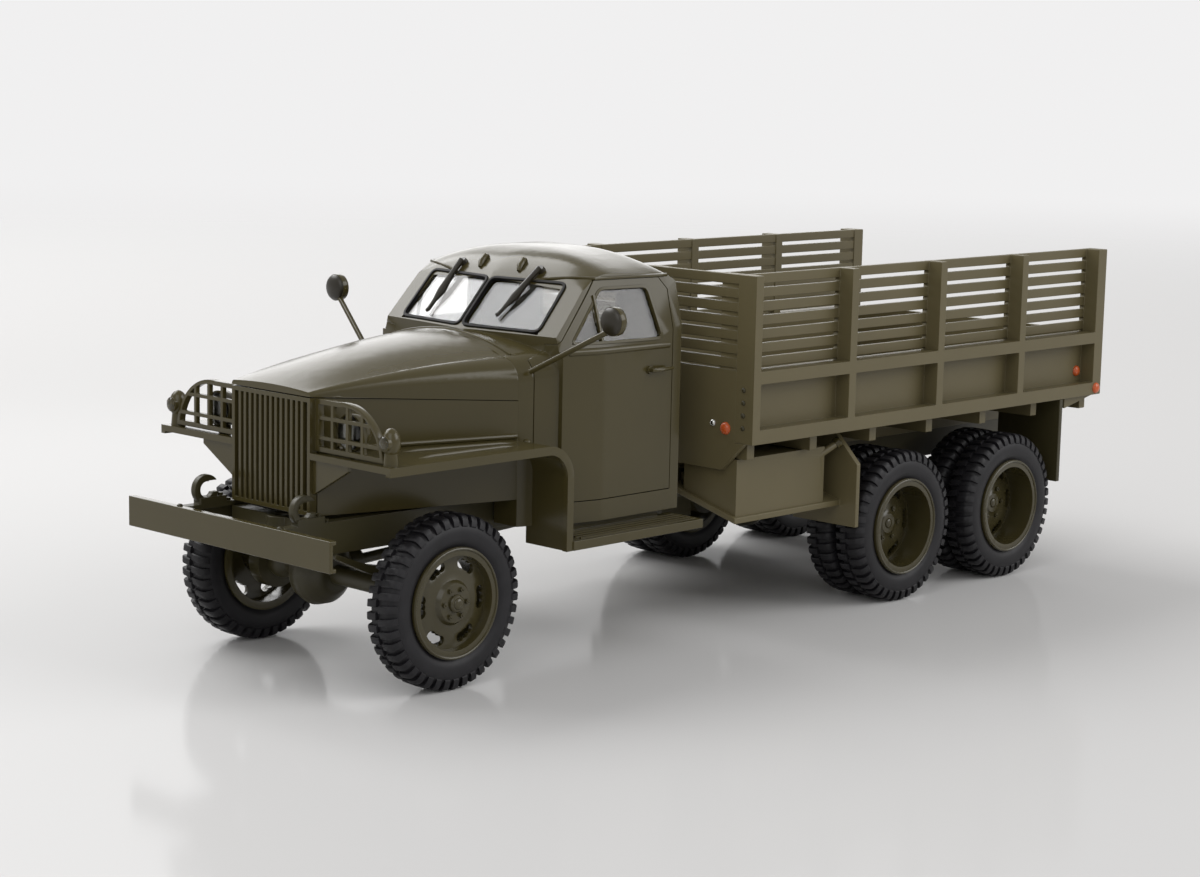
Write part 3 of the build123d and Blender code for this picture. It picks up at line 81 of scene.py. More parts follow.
# Colours
OLIVE = (0.058, 0.047, 0.016)
OLIVE_DEEP = (0.040, 0.034, 0.013)
OLIVE_WHEEL = (0.046, 0.038, 0.014)
OLIVE_DARK = (0.020, 0.016, 0.008)
# The bed's olive is lighter than the cab's: painted light that stands in for the light falling on the bed's
# sides
OLIVE_BED_PAINTED_LIGHT = (0.115, 0.095, 0.045)
BLACK_RUBBER = (0.0095, 0.0088, 0.0105)
BLACK_TRIM = (0.010, 0.009, 0.008)
SEAT_BROWN = (0.055, 0.040, 0.025)
SILVER = (0.60, 0.60, 0.58)
DULL_SILVER = (0.10, 0.10, 0.09)
ORANGE = (0.50, 0.09, 0.02)
BACKDROP = (0.875, 0.87, 0.872)
FLOOR_COLOUR = (0.60, 0.595, 0.59)
WHITE = (1.0, 1.0, 1.0)

# Edges: the angle in degrees from which they count as sharp, and the steps of a rounding
SHARP_ANGLE = 35
ROUNDING_SEGMENTS = 2

# Share of a dome's height that is sunk, and the tightest corner that a strip may mitre
DOME_SINK = 0.3
MITRE_LIMIT = 0.35

# How far out a line starts that finds a surface
FAR = 60.0


# Mesh building

class Shape:
    """Points and faces in millimetres that become one object."""

    def __init__(self):
        self.points = []
        self.faces = []

    def add(self, points, faces, matrix=None):
        start = len(self.points)
        for point in points:
            place = Vector(point)
            self.points.append(matrix @ place if matrix else place)
        self.faces.extend([tuple(start + number for number in face) for face in faces])

    def rings(self, rings, closed=False, matrix=None):
        """Join rings of equal length with quads; closed joins the last to the first."""
        count = len(rings[0])
        points = [point for ring in rings for point in ring]
        faces = []
        last = len(rings) if closed else len(rings) - 1
        for row in range(last):
            here = row * count
            there = (row + 1) % len(rings) * count
            for side in range(count):
                turn = (side + 1) % count
                faces.append((here + side, here + turn, there + turn, there + side))
        if not closed:
            faces.append(tuple(reversed(range(count))))
            faces.append(tuple(range((len(rings) - 1) * count, len(rings) * count)))
        self.add(points, faces, matrix)

    def block(self, low, high):
        """A box between two corners."""
        xs, ys, zs = zip(low, high)
        lower = [(xs[0], ys[0], zs[0]), (xs[1], ys[0], zs[0]), (xs[1], ys[1], zs[0]), (xs[0], ys[1], zs[0])]
        upper = [(x, y, zs[1]) for x, y, z in lower]
        self.rings([lower, upper])

    def turned(self, profile, steps, matrix=None, closed_profile=True):
        """Turn a (radius, along) profile about the local Z axis."""
        rings = []
        for step in range(steps):
            angle = 2 * math.pi * step / steps
            rings.append([(r * math.cos(angle), r * math.sin(angle), along) for r, along in profile])
        count = len(profile)
        points = [point for ring in rings for point in ring]
        faces = []
        sides = count if closed_profile else count - 1
        for step in range(steps):
            here = step * count
            there = (step + 1) % steps * count
            for side in range(sides):
                turn = (side + 1) % count
                faces.append((here + side, there + side, there + turn, here + turn))
        self.add(points, faces, matrix)

    def rod(self, start, end, radius, end_radius=None, sides=12):
        """A round bar between two points, tapered if the end radius differs."""
        end_radius = radius if end_radius is None else end_radius
        matrix = aim(start, Vector(end) - Vector(start))
        length = (Vector(end) - Vector(start)).length
        rings = [ring_points(radius, 0, sides), ring_points(end_radius, length, sides)]
        self.rings(rings, matrix=matrix)

    def dome(self, place, direction, radius, height, sides=16, rows=5):
        """A rounded cap that stands on a surface."""
        rings = []
        for row in range(rows):
            angle = math.pi / 2 * row / (rows - 0.5)
            rings.append(ring_points(radius * math.cos(angle), height * math.sin(angle), sides))
        self.rings([ring_points(radius, -height * DOME_SINK, sides)] + rings, matrix=aim(place, direction))

    def tube(self, path, radii, sides=10):
        """A tube along a path of points, with a radius at each point."""
        path = [Vector(point) for point in path]
        rings = []
        side_way = None
        for number, point in enumerate(path):
            before = path[max(number - 1, 0)]
            after = path[min(number + 1, len(path) - 1)]
            along = (after - before).normalized()
            if side_way is None:
                side_way = along.orthogonal().normalized()
            side_way = (side_way - along * side_way.dot(along)).normalized()
            other = along.cross(side_way)
            radius = radii[number] if isinstance(radii, (list, tuple)) else radii
            rings.append([
                point + radius * (math.cos(turn) * side_way + math.sin(turn) * other)
                for turn in [2 * math.pi * step / sides for step in range(sides)]
            ])
        self.rings(rings)

    def strip(self, path, width, thickness, normal, closed=False):
        """A flat band along a path, lying on a surface with that normal."""
        path = [Vector(point) for point in path]
        up = Vector(normal).normalized()
        rings = []
        count = len(path)
        for number, point in enumerate(path):
            before = path[(number - 1) % count] if closed or number else path[number]
            after = path[(number + 1) % count] if closed or number < count - 1 else path[number]
            first = (point - before).normalized() if (point - before).length > 0 else None
            second = (after - point).normalized() if (after - point).length > 0 else None
            along = ((first or second) + (second or first)).normalized()
            side = along.cross(up).normalized()
            stretch = 1.0
            if first and second:
                stretch = 1 / max(MITRE_LIMIT, math.sqrt(max(0.0, (1 + first.dot(second)) / 2)))
            half = side * width / 2 * stretch
            foot = [point - half, point + half]
            rings.append(foot + [point + half + up * thickness, point - half + up * thickness])
        self.rings(rings, closed=closed)

    def mirrored(self):
        """The same shape on the truck's other side."""
        other = Shape()
        other.points = [Vector((p.x, -p.y, p.z)) for p in self.points]
        other.faces = [tuple(reversed(face)) for face in self.faces]
        return other


def ring_points(radius, along, sides):
    """Points of a level circle about the local Z axis."""
    angles = [2 * math.pi * step / sides for step in range(sides)]
    return [(radius * math.cos(a), radius * math.sin(a), along) for a in angles]


def aim(place, direction):
    """A matrix that puts the local origin at a place and local Z along a direction."""
    turn = Vector(direction).to_track_quat("Z", "Y").to_matrix().to_4x4()
    return Matrix.Translation(Vector(place)) @ turn


def make(name, shape, material, body, replaces=(), bevel=0.0, sharp=SHARP_ANGLE):
    """Turn a shape into a Blender object that rides on a CAD body."""
    mesh = bpy.data.meshes.new(name)
    mesh.from_pydata([point * MM for point in shape.points], [], shape.faces)
    mesh.validate()
    mesh.materials.append(material)
    mesh.shade_smooth()
    mesh.set_sharp_from_angle(angle=math.radians(sharp))
    item = bpy.data.objects.new(name, mesh)
    bpy.context.scene.collection.objects.link(item)
    if bevel:
        rounding = item.modifiers.new("rounding", "BEVEL")
        rounding.width = bevel * MM
        rounding.segments = ROUNDING_SEGMENTS
        rounding.limit_method = "ANGLE"
        rounding.angle_limit = math.radians(SHARP_ANGLE)
        rounding.harden_normals = True
    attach(item, body)
    if replaces:
        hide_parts(*replaces)
    return item


def make_pair(name, shape, material, bevel=0.0):
    """The same piece on both sides of the truck, fixed to the chassis."""
    make(f"{name}_left", shape, material, "chassis", bevel=bevel)
    make(f"{name}_right", shape.mirrored(), material, "chassis", bevel=bevel)


# Search trees of the CAD nodes, each made when it is first needed
TREES = {}


def surface(node, start, direction):
    """Where a line from a point first meets a CAD node: the place and its outward normal."""
    if node not in TREES:
        mesh = NODES[node].data
        corners = [vertex.co / MM for vertex in mesh.vertices]
        TREES[node] = BVHTree.FromPolygons(corners, [tuple(face.vertices) for face in mesh.polygons])
    way = Vector(direction).normalized()
    place, normal, _, _ = TREES[node].ray_cast(Vector(start), way)
    if place is None:
        raise ValueError(f"no surface of {node} from {tuple(start)} along {tuple(direction)}")
    if normal.dot(way) > 0:
        normal = -normal
    return place, normal


# Materials

RAMP_ENDS = (0.3, 0.7)
TONE_SCALE = 0.08
GLOSS_SCALE = 0.25
PEEL_DETAIL = 2.0
PEEL_DEPTH = 0.02
CLEAR_IOR = 1.45
CLEAR_DRIFT = 0.03


def new_material(name):
    material = bpy.data.materials.new(name)
    material.use_nodes = True
    tree = material.node_tree
    return material, tree, tree.nodes["Principled BSDF"]


def noise(tree, scale, detail=3.0, roughness=0.55):
    """Noise in the piece's own space, with the scale in features per millimetre."""
    place = tree.nodes.new("ShaderNodeTexCoord")
    texture = tree.nodes.new("ShaderNodeTexNoise")
    texture.inputs["Scale"].default_value = scale / MM
    texture.inputs["Detail"].default_value = detail
    texture.inputs["Roughness"].default_value = roughness
    tree.links.new(place.outputs["Object"], texture.inputs["Vector"])
    return texture


def vary_colour(tree, shader, colour, texture, spread):
    """Base colour that drifts darker and lighter with a noise texture."""
    ramp = tree.nodes.new("ShaderNodeValToRGB")
    elements = ramp.color_ramp.elements
    for number, share in enumerate((1 - spread, 1 + spread)):
        elements[number].position = RAMP_ENDS[number]
        elements[number].color = (*[c * share for c in colour], 1)
    tree.links.new(texture.outputs["Fac"], ramp.inputs["Fac"])
    tree.links.new(ramp.outputs["Color"], shader.inputs["Base Color"])


def vary_roughness(tree, shader, low, high, texture):
    """Roughness that drifts between two values with a noise texture."""
    span_node = tree.nodes.new("ShaderNodeMapRange")
    span_node.inputs["To Min"].default_value = low
    span_node.inputs["To Max"].default_value = high
    tree.links.new(texture.outputs["Fac"], span_node.inputs["Value"])
    tree.links.new(span_node.outputs["Result"], shader.inputs["Roughness"])


def add_bump(tree, shader, texture, strength, depth):
    """A fine relief in the finish, its depth in millimetres."""
    bump = tree.nodes.new("ShaderNodeBump")
    bump.inputs["Strength"].default_value = strength
    bump.inputs["Distance"].default_value = depth * MM
    tree.links.new(texture.outputs["Fac"], bump.inputs["Height"])
    tree.links.new(bump.outputs["Normal"], shader.inputs["Normal"])


def painted(name, colour, low, high, specular=0.5, spread=0.05, grain=4.0, strength=0.03):
    """Sprayed model paint: broad drift in tone, a little uneven gloss and a fine orange-peel."""
    material, tree, shader = new_material(name)
    shader.inputs["Specular IOR Level"].default_value = specular
    vary_colour(tree, shader, colour, noise(tree, TONE_SCALE), spread)
    vary_roughness(tree, shader, low, high, noise(tree, GLOSS_SCALE))
    add_bump(tree, shader, noise(tree, grain, detail=PEEL_DETAIL), strength, PEEL_DEPTH)
    return material


def rubber():
    """Soft black tyre compound, a little bluish and dusty."""
    material, tree, shader = new_material("tyre_rubber")
    shader.inputs["Specular IOR Level"].default_value = 0.35
    vary_colour(tree, shader, BLACK_RUBBER, noise(tree, scale=0.5), spread=0.3)
    vary_roughness(tree, shader, low=0.42, high=0.6, texture=noise(tree, scale=1.0))
    add_bump(tree, shader, noise(tree, scale=6.0), strength=0.25, depth=0.02)
    return material


def clear(name, tint, roughness=0.02):
    """Thin clear plastic."""
    material, tree, shader = new_material(name)
    shader.inputs["Transmission Weight"].default_value = 1.0
    shader.inputs["IOR"].default_value = CLEAR_IOR
    vary_colour(tree, shader, tint, noise(tree, scale=0.1), spread=0.02)
    vary_roughness(tree, shader, roughness, roughness + CLEAR_DRIFT, noise(tree, scale=0.3))
    return material


def metal(name, colour, low, high):
    """Plated or polished metal."""
    material, tree, shader = new_material(name)
    shader.inputs["Metallic"].default_value = 1.0
    vary_colour(tree, shader, colour, noise(tree, scale=0.4), spread=0.05)
    vary_roughness(tree, shader, low, high, noise(tree, scale=1.5))
    return material


PAINT = painted("olive_paint", OLIVE, low=0.17, high=0.24, specular=0.4)
PLASTIC = painted("olive_plastic", OLIVE_DEEP, low=0.34, high=0.46, specular=0.4, grain=3.0)
WHEEL_PAINT = painted("wheel_paint", OLIVE_WHEEL, low=0.2, high=0.28)
WIPER_PAINT = painted("wiper_paint", OLIVE_DARK, low=0.3, high=0.4)
# Bed, tailgate, tank, tool box and tray: olive plastic lightened as painted light
BED_PLASTIC_PAINTED_LIGHT = painted("bed_plastic_painted_light", OLIVE_BED_PAINTED_LIGHT, low=0.38, high=0.5, specular=0.4, grain=3.0)
INTERIOR = painted("interior_plastic", SEAT_BROWN, low=0.45, high=0.6, specular=0.35, grain=2.5, strength=0.2)
TRIM = painted("black_trim", BLACK_TRIM, low=0.45, high=0.6, specular=0.2, grain=3.0)
RUBBER = rubber()
GLASS = clear("clear_glazing", (0.93, 0.94, 0.95))
SIDE_GLASS = clear("side_glazing", (0.74, 0.73, 0.71))
LENS = clear("lamp_lens", (0.92, 0.92, 0.90), roughness=0.05)
ORANGE_LENS = painted("orange_lens", ORANGE, low=0.12, high=0.2, spread=0.12)
MIRROR = metal("silver", SILVER, low=0.08, high=0.2)
LAMP_BOWL = metal("lamp_bowl", DULL_SILVER, low=0.3, high=0.4)

NODE_MATERIALS = [
    # node prefix, material
    ("wheel_", WHEEL_PAINT),
    ("door_glass", SIDE_GLASS),
    ("windshield_glass", GLASS),
    ("rear_glass", GLASS),
    ("bench_seat", INTERIOR),
    ("dashboard", INTERIOR),
    ("axle_", PLASTIC),
    ("spring_", PLASTIC),
    ("crossmember_", PLASTIC),
    ("frame_rail", PLASTIC),
    ("transfer_case", PLASTIC),
    ("propshaft", PLASTIC),
    ("engine_gearbox", PLASTIC),
    ("radiator", TRIM),
    ("bed_", BED_PLASTIC_PAINTED_LIGHT),
    ("tailgate", BED_PLASTIC_PAINTED_LIGHT),
    ("fuel_tank", BED_PLASTIC_PAINTED_LIGHT),
    ("tool_box", BED_PLASTIC_PAINTED_LIGHT),
    ("side_tray", BED_PLASTIC_PAINTED_LIGHT),
    ("mudflap", PLASTIC),
]
NODE_ROUNDING = 0.1
NODE_WELD = 0.002
NODE_SHARP_ANGLE = 40


def finish_nodes():
    """Give each CAD node its finish, and soften its moulded edges."""
    for name, node in NODES.items():
        material = PAINT
        for prefix, choice in NODE_MATERIALS:
            if name.startswith(prefix):
                material = choice
        node.data.materials.clear()
        node.data.materials.append(material)
        if "glass" in name:
            continue
        weld = node.modifiers.new("weld", "WELD")
        weld.merge_threshold = NODE_WELD * MM
        rounding = node.modifiers.new("rounding", "BEVEL")
        rounding.width = NODE_ROUNDING * MM
        rounding.segments = ROUNDING_SEGMENTS
        rounding.limit_method = "ANGLE"
        rounding.angle_limit = math.radians(NODE_SHARP_ANGLE)
        facing = node.modifiers.new("facing", "WEIGHTED_NORMAL")
        facing.keep_sharp = False


finish_nodes()


# Tyres: a rounded carcass with staggered bars on both shoulders

LUGS = 42
LUG_PITCH = 2 * math.pi / LUGS
LUG_HEIGHT = 0.45
LUG_SHARE = 0.58
LUG_SKEW = 0.05
LUG_STAGGER = 0.25
LUG_TAPER = 0.25
LUG_STATIONS = (-0.5, -0.36, 0.36, 0.5)
TYRE_STEPS = 96
TYRE_SHARP_ANGLE = 40


def carcass_profile():
    """(radius, y) points of the smooth casing, y from 0 at the outer face inwards."""
    crown = TYRE_R - LUG_HEIGHT
    half = [
        (RIM_FLANGE_R - 0.5, -0.55),
        (RIM_FLANGE_R + 0.15, -0.42),
        (RIM_FLANGE_R + 0.45, -0.16),
        (RIM_FLANGE_R + 1.0, -0.03),
        (RIM_FLANGE_R + 1.7, 0.0),
        (RIM_FLANGE_R + 2.3, -0.08),
        (crown - 0.7, -0.32),
        (crown - 0.25, -0.62),
        (crown, -1.1),
    ]
    return half + [(crown + 0.02, -TYRE_W / 2)] + [(r, -TYRE_W - y) for r, y in reversed(half)]


def lug_section(side):
    """(radius, y) outline of one bar, from near the middle over the shoulder."""
    crown = TYRE_R - LUG_HEIGHT
    outline = [
        (crown - 0.2, -TYRE_W / 2 + 0.12),
        (TYRE_R - 0.02, -TYRE_W / 2 + 0.2),
        (TYRE_R, -TYRE_W / 2 + 0.6),
        (TYRE_R - 0.03, -0.75),
        (TYRE_R - 0.22, -0.36),
        (TYRE_R - 0.75, -0.1),
        (TYRE_R - 1.35, -0.02),
        (TYRE_R - 1.55, -0.2),
        (crown - 0.75, -0.9),
    ]
    return outline if side > 0 else [(r, -TYRE_W - y) for r, y in outline]


def add_lug(shape, face_y, side, middle):
    """One bar of the tread, with its two flanks a little lower."""
    rings = []
    for share in LUG_STATIONS:
        ring = []
        for r, y in lug_section(side):
            above = max(0.0, r - TYRE_R + LUG_HEIGHT)
            lift = 1.0 if abs(share) < 0.5 else 1 - LUG_TAPER * above / TYRE_R
            lean = LUG_SKEW * (abs(y + TYRE_W / 2) / TYRE_W) * side
            angle = middle + LUG_PITCH * LUG_SHARE * share + lean
            ring.append((r * lift * math.cos(angle), face_y + y, r * lift * math.sin(angle)))
        rings.append(ring)
    if side > 0:
        rings.reverse()
    shape.rings(rings)


def add_tyre(shape, face_y):
    """One tyre, its outer face at that y, about the origin's Y axis."""
    around = Matrix.Rotation(math.radians(-90), 4, "X")
    carcass = [(r, face_y + y) for r, y in carcass_profile()]
    shape.turned(carcass, TYRE_STEPS, matrix=around, closed_profile=False)
    for side in (1, -1):
        for number in range(LUGS):
            add_lug(shape, face_y, side, LUG_PITCH * (number + LUG_STAGGER * side))


def place_wheel_shape(shape, x, outer_y, sign):
    """A shape about the origin's Y axis, moved to its wheel."""
    placed = Shape()
    placed.points = [Vector((x + p.x, sign * (outer_y + p.y), AXLE_Z + p.z)) for p in shape.points]
    placed.faces = shape.faces if sign > 0 else [tuple(reversed(face)) for face in shape.faces]
    return placed


WHEEL_ROWS = [
    # name, axle x, outer face y, tyre faces
    ("front", AXLE_X, FRONT_TYRE_HIGH.y, (0.0,)),
    ("mid", MID_X, MID_TYRE_HIGH.y, (0.0, -TWIN_PITCH)),
    ("rear", REAR_X, REAR_TYRE_HIGH.y, (0.0, -TWIN_PITCH)),
]
SIDES = [("left", 1), ("right", -1)]


def make_tyres():
    """The six tyres with their tread, in place of the plain CAD rings."""
    for row, x, outer_y, faces in WHEEL_ROWS:
        tyre = Shape()
        for face_y in faces:
            add_tyre(tyre, face_y)
        for side, sign in SIDES:
            placed = place_wheel_shape(tyre, x, outer_y, sign)
            make(f"tread_{row}_{side}", placed, RUBBER, f"wheel_set_{row}_{side}",
                 replaces=[f"tyre_{row}_{side}"], sharp=TYRE_SHARP_ANGLE)


make_tyres()


# Wheel hardware: six nuts on each hub, and a bead on each rim lip

HUB_NUTS = 6
NUT_R = 0.34
NUT_H = 0.32
STUD_R = NUT_R * 0.45
STUD_H = NUT_R * 0.5
FRONT_NUT_RING = 1.85
TWIN_NUT_RING = 2.3
HUB_DOME_R = 0.75
HUB_DOME_H = 0.3
RIM_BEAD_R = 0.17
RIM_BEAD_GAP = 0.05
RIM_BEAD_SIDES = 8
RIM_BEAD_STEPS = 72


def wheel_hardware(row, x, outer_y):
    """Nuts, a hub dome and a rim bead on the left wheel of an axle."""
    node = f"wheel_{row}_left"
    nut_ring = FRONT_NUT_RING if row == "front" else TWIN_NUT_RING
    shape = Shape()
    for number in range(HUB_NUTS):
        turn = 2 * math.pi * number / HUB_NUTS
        start = (x + nut_ring * math.cos(turn), outer_y + FAR, AXLE_Z + nut_ring * math.sin(turn))
        place, _ = surface(node, start, (0, -1, 0))
        nut_top = place + Vector((0, NUT_H, 0))
        shape.rod(place - Vector((0, NUT_H / 2, 0)), nut_top, NUT_R, sides=6)
        shape.dome(nut_top, (0, 1, 0), STUD_R, STUD_H, sides=8, rows=3)
    middle, _ = surface(node, (x, outer_y + FAR, AXLE_Z), (0, -1, 0))
    shape.dome(middle, (0, 1, 0), HUB_DOME_R, HUB_DOME_H)
    lip_r = RIM_FLANGE_R - RIM_BEAD_R - RIM_BEAD_GAP
    lip, _ = surface(node, (x + lip_r, outer_y + FAR, AXLE_Z), (0, -1, 0))
    bead = [
        (lip_r + RIM_BEAD_R * math.cos(a), RIM_BEAD_R * math.sin(a))
        for a in [2 * math.pi * step / RIM_BEAD_SIDES for step in range(RIM_BEAD_SIDES)]
    ]
    shape.turned(bead, RIM_BEAD_STEPS, matrix=aim((x, lip.y, AXLE_Z), (0, 1, 0)))
    return shape


def make_wheel_hardware():
    """The small parts of all six wheels; the right ones are the left ones mirrored."""
    for row, x, outer_y, _ in WHEEL_ROWS:
        shape = wheel_hardware(row, x, outer_y)
        for side, placed in (("left", shape), ("right", shape.mirrored())):
            make(f"hub_nuts_{row}_{side}", placed, WHEEL_PAINT, f"wheel_set_{row}_{side}")


make_wheel_hardware()


# Lamps

LAMP_LOW, LAMP_HIGH = span("headlamp_left")
LAMP_R = (LAMP_HIGH.y - LAMP_LOW.y) / 2
LAMP_Y = (LAMP_HIGH.y + LAMP_LOW.y) / 2
LAMP_Z = LAMP_HIGH.z - LAMP_R
LAMP_RIM_W = 0.25
LENS_R = LAMP_R - LAMP_RIM_W
LENS_LIFT = 0.12
LENS_H = 0.22
BOWL_SINK = 0.2
BOWL_RISE = 0.03
LAMP_SIDES = 40
FENDER_TOP_Z = 28.8
MARKER_X = AXLE_X + 10.8
MARKER_Y = 20.4
MARKER_R = 1.15
MARKER_H = 1.75
MARKER_Z = FENDER_TOP_Z + 2.7
MARKER_FOOT_R = 0.95
MARKER_FOOT_SINK = 0.2
MARKER_NECK_R = 0.7
MARKER_CUP_BACK = 0.1
MARKER_CUP_R = MARKER_R * 0.86
MARKER_RIM_R = MARKER_R * 0.8
MARKER_LENS_R = MARKER_R * 0.7
MARKER_LENS_H = 0.3
MARKER_SIDES = 28
EGG_STEPS = 12
POLE_R = 0.001


def make_headlamps():
    """A reflector and a glass in each headlamp's rim."""
    front = Vector((LAMP_HIGH.x, LAMP_Y, LAMP_Z))
    reflector = Shape()
    back = front - Vector((BOWL_SINK, 0, 0))
    reflector.rod(back, front + Vector((BOWL_RISE, 0, 0)), LENS_R, sides=LAMP_SIDES)
    make_pair("headlamp_reflector", reflector, LAMP_BOWL)
    lens = Shape()
    lens.dome(front + Vector((LENS_LIFT, 0, 0)), (1, 0, 0), LENS_R, LENS_H, sides=LAMP_SIDES)
    make_pair("headlamp_lens", lens, LENS)


def make_marker_lamps():
    """An egg-shaped lamp on a short foot on each fender, with its glass."""
    top, _ = surface("front_fender_left", (MARKER_X, MARKER_Y, FAR), (0, 0, -1))
    middle = (MARKER_X, MARKER_Y, MARKER_Z)
    glass_place = (MARKER_X + MARKER_R, MARKER_Y, MARKER_Z)
    marker = Shape()
    marker.rod(top - Vector((0, 0, MARKER_FOOT_SINK)), middle, MARKER_FOOT_R, MARKER_NECK_R, sides=20)
    angles = [math.pi * (step / EGG_STEPS - 0.5) for step in range(EGG_STEPS + 1)]
    egg = [(max(MARKER_R * math.cos(a), POLE_R), MARKER_H * math.sin(a)) for a in angles]
    marker.turned(egg, MARKER_SIDES, matrix=Matrix.Translation(middle), closed_profile=False)
    cup_back = (MARKER_X + MARKER_CUP_BACK, MARKER_Y, MARKER_Z)
    marker.rod(cup_back, glass_place, MARKER_CUP_R, MARKER_RIM_R, sides=MARKER_SIDES)
    make_pair("marker_lamp", marker, PAINT)
    glass = Shape()
    glass.dome(glass_place, (1, 0, 0), MARKER_LENS_R, MARKER_LENS_H, sides=MARKER_SIDES)
    make_pair("marker_lens", glass, LENS)


make_headlamps()
make_marker_lamps()


# Windshield: rubber round the panes, the wipers and two small fittings above them

GASKET_W = 0.42
GASKET_T = 0.22
GASKET_SINK = 0.45
GASKET_CORNER_R = 1.0
GASKET_BEVEL = 0.08
PANE_POST_GAP = 0.1
PANE_EDGE_GAP = 0.12
PANE_TOP_SLANT = 0.3
SKIN_PROBE = 0.6
PANE_LOW, PANE_HIGH = span("windshield_glass_left")


def soften(corners, radius, steps=4):
    """A closed path through corners, each rounded off."""
    path = []
    count = len(corners)
    for number, corner in enumerate(corners):
        corner = Vector(corner)
        start = corner + (Vector(corners[number - 1]) - corner).normalized() * radius
        end = corner + (Vector(corners[(number + 1) % count]) - corner).normalized() * radius
        for step in range(steps + 1):
            share = step / steps
            path.append(start * (1 - share) ** 2 + corner * 2 * share * (1 - share) + end * share ** 2)
    return path


def fill_in(path, longest):
    """The same closed path with extra points, so that it can follow a bent surface."""
    filled = []
    for number, point in enumerate(path):
        after = path[(number + 1) % len(path)]
        parts = max(1, math.ceil((after - point).length / longest))
        filled.extend([point.lerp(after, part / parts) for part in range(parts)])
    return filled


def screen_plane():
    """A point on the left pane's outer face, and its outward normal."""
    middle = (PANE_LOW + PANE_HIGH) / 2
    return surface("windshield_glass_left", (FAR, middle.y, middle.z), (-1, 0, 0))


SCREEN_PLACE, SCREEN_NORMAL = screen_plane()


def on_screen(y, z, lift=0.0):
    """A place on the left half of the windshield, lifted off the pane."""
    n = SCREEN_NORMAL
    x = SCREEN_PLACE.x - (n.y * (y - SCREEN_PLACE.y) + n.z * (z - SCREEN_PLACE.z)) / n.x
    return Vector((x, y, z)) + n * lift


def shell_depth():
    """How far the cab's skin beside the pane stands out from the pane."""
    y = PANE_HIGH.y + SKIN_PROBE
    z = (PANE_LOW.z + PANE_HIGH.z) / 2
    skin, _ = surface("cab_shell", (FAR, y, z), (-1, 0, 0))
    return (skin - on_screen(y, z)).dot(SCREEN_NORMAL)


def make_gaskets():
    """Black rubber round both panes."""
    sunk = shell_depth() - GASKET_SINK
    inner = PANE_LOW.y - PANE_POST_GAP
    outer = PANE_HIGH.y - PANE_EDGE_GAP
    low = PANE_LOW.z + PANE_EDGE_GAP
    high = PANE_HIGH.z - PANE_EDGE_GAP
    outline = [(inner, low), (outer, low), (outer - PANE_TOP_SLANT, high), (inner, high)]
    path = soften([on_screen(y, z, sunk) for y, z in outline], GASKET_CORNER_R)
    rubber_ring = Shape()
    rubber_ring.strip(path, GASKET_W, GASKET_SINK + GASKET_T, SCREEN_NORMAL, closed=True)
    make_pair("windshield_gasket", rubber_ring, TRIM, bevel=GASKET_BEVEL)


WIPER_ROWS = [
    # side, pivot y, pivot z, tip y, tip z
    ("left", 7.3, 48.7, 5.05, 42.9),
    ("right", 7.3, 48.7, 8.1, 42.4),
]
WIPER_LIFT = 0.45
WIPER_RADII = [0.42, 0.36, 0.55, 0.27, 0.2]
WIPER_TIP_R = 0.33
WIPER_TIP_H = 0.3
PIVOT_H = 0.55
PIVOT_SINK = 0.2
PIVOT_FOOT_R = 0.62
PIVOT_TOP_R = 0.5
ARM_JOINT = 0.42
ARM_BOW = 0.1
BLADE_START = 0.3
BLADE_SHARES = (0.45, 0.75)
BLADE_EDGE_SINK = 0.3
BLADE_EDGE_W = 0.16
BLADE_EDGE_H = 0.32


def wiper(pivot_y, pivot_z, tip_y, tip_z):
    """A pivot above the windshield, a thin arm and a blade with its rubber edge on the pane."""
    pivot, normal = surface("cab_shell", (FAR, pivot_y, pivot_z), (-1, 0, 0))
    pivot_end = pivot + normal * PIVOT_H
    tip = on_screen(tip_y, tip_z, WIPER_LIFT)
    blade_top = on_screen(pivot_y, pivot_z, WIPER_LIFT).lerp(tip, BLADE_START)
    blade_middle = blade_top.lerp(tip, 0.5)
    joint = pivot_end.lerp(blade_middle, ARM_JOINT) + SCREEN_NORMAL * ARM_BOW
    blade = [blade_top.lerp(tip, share) for share in BLADE_SHARES]
    shape = Shape()
    shape.rod(pivot - normal * PIVOT_SINK, pivot_end, PIVOT_FOOT_R, PIVOT_TOP_R, sides=14)
    shape.tube([pivot_end, joint, *blade, tip], WIPER_RADII)
    shape.dome(tip, SCREEN_NORMAL, WIPER_TIP_R, WIPER_TIP_H, sides=10, rows=3)
    edge = [place - SCREEN_NORMAL * BLADE_EDGE_SINK for place in (blade_top, tip)]
    shape.strip(edge, BLADE_EDGE_W, BLADE_EDGE_H, SCREEN_NORMAL)
    return shape


def make_wipers():
    for side, *places in WIPER_ROWS:
        shape = wiper(*places)
        if side == "right":
            shape = shape.mirrored()
        make(f"wiper_{side}", shape, WIPER_PAINT, "chassis")


CLIP_Y = 3.6
CLIP_TOP_Z = 49.8
CLIP_FOOT_Z = 48.4
CLIP_LEAN = 0.3
CLIP_ROWS = [
    # share of the way down, lift, radius
    (0, 0, 0.3),
    (0.2, 0.3, 0.5),
    (0.7, 0.35, 0.42),
    (1, 0.1, 0.25),
]


def make_roof_clips():
    """Two small rounded fittings on the roof's edge, between the wipers."""
    clips = Shape()
    for y in (-CLIP_Y, CLIP_Y):
        upper, normal = surface("cab_shell", (FAR, y - CLIP_LEAN, CLIP_TOP_Z), (-1, 0, 0))
        lower, _ = surface("cab_shell", (FAR, y + CLIP_LEAN, CLIP_FOOT_Z), (-1, 0, 0))
        path = [upper.lerp(lower, share) + normal * lift for share, lift, _ in CLIP_ROWS]
        clips.tube(path, [radius for _, _, radius in CLIP_ROWS])
    make("roof_clips", clips, PAINT, "chassis")


make_gaskets()
make_wipers()
make_roof_clips()


# Doors, cowl and mirrors

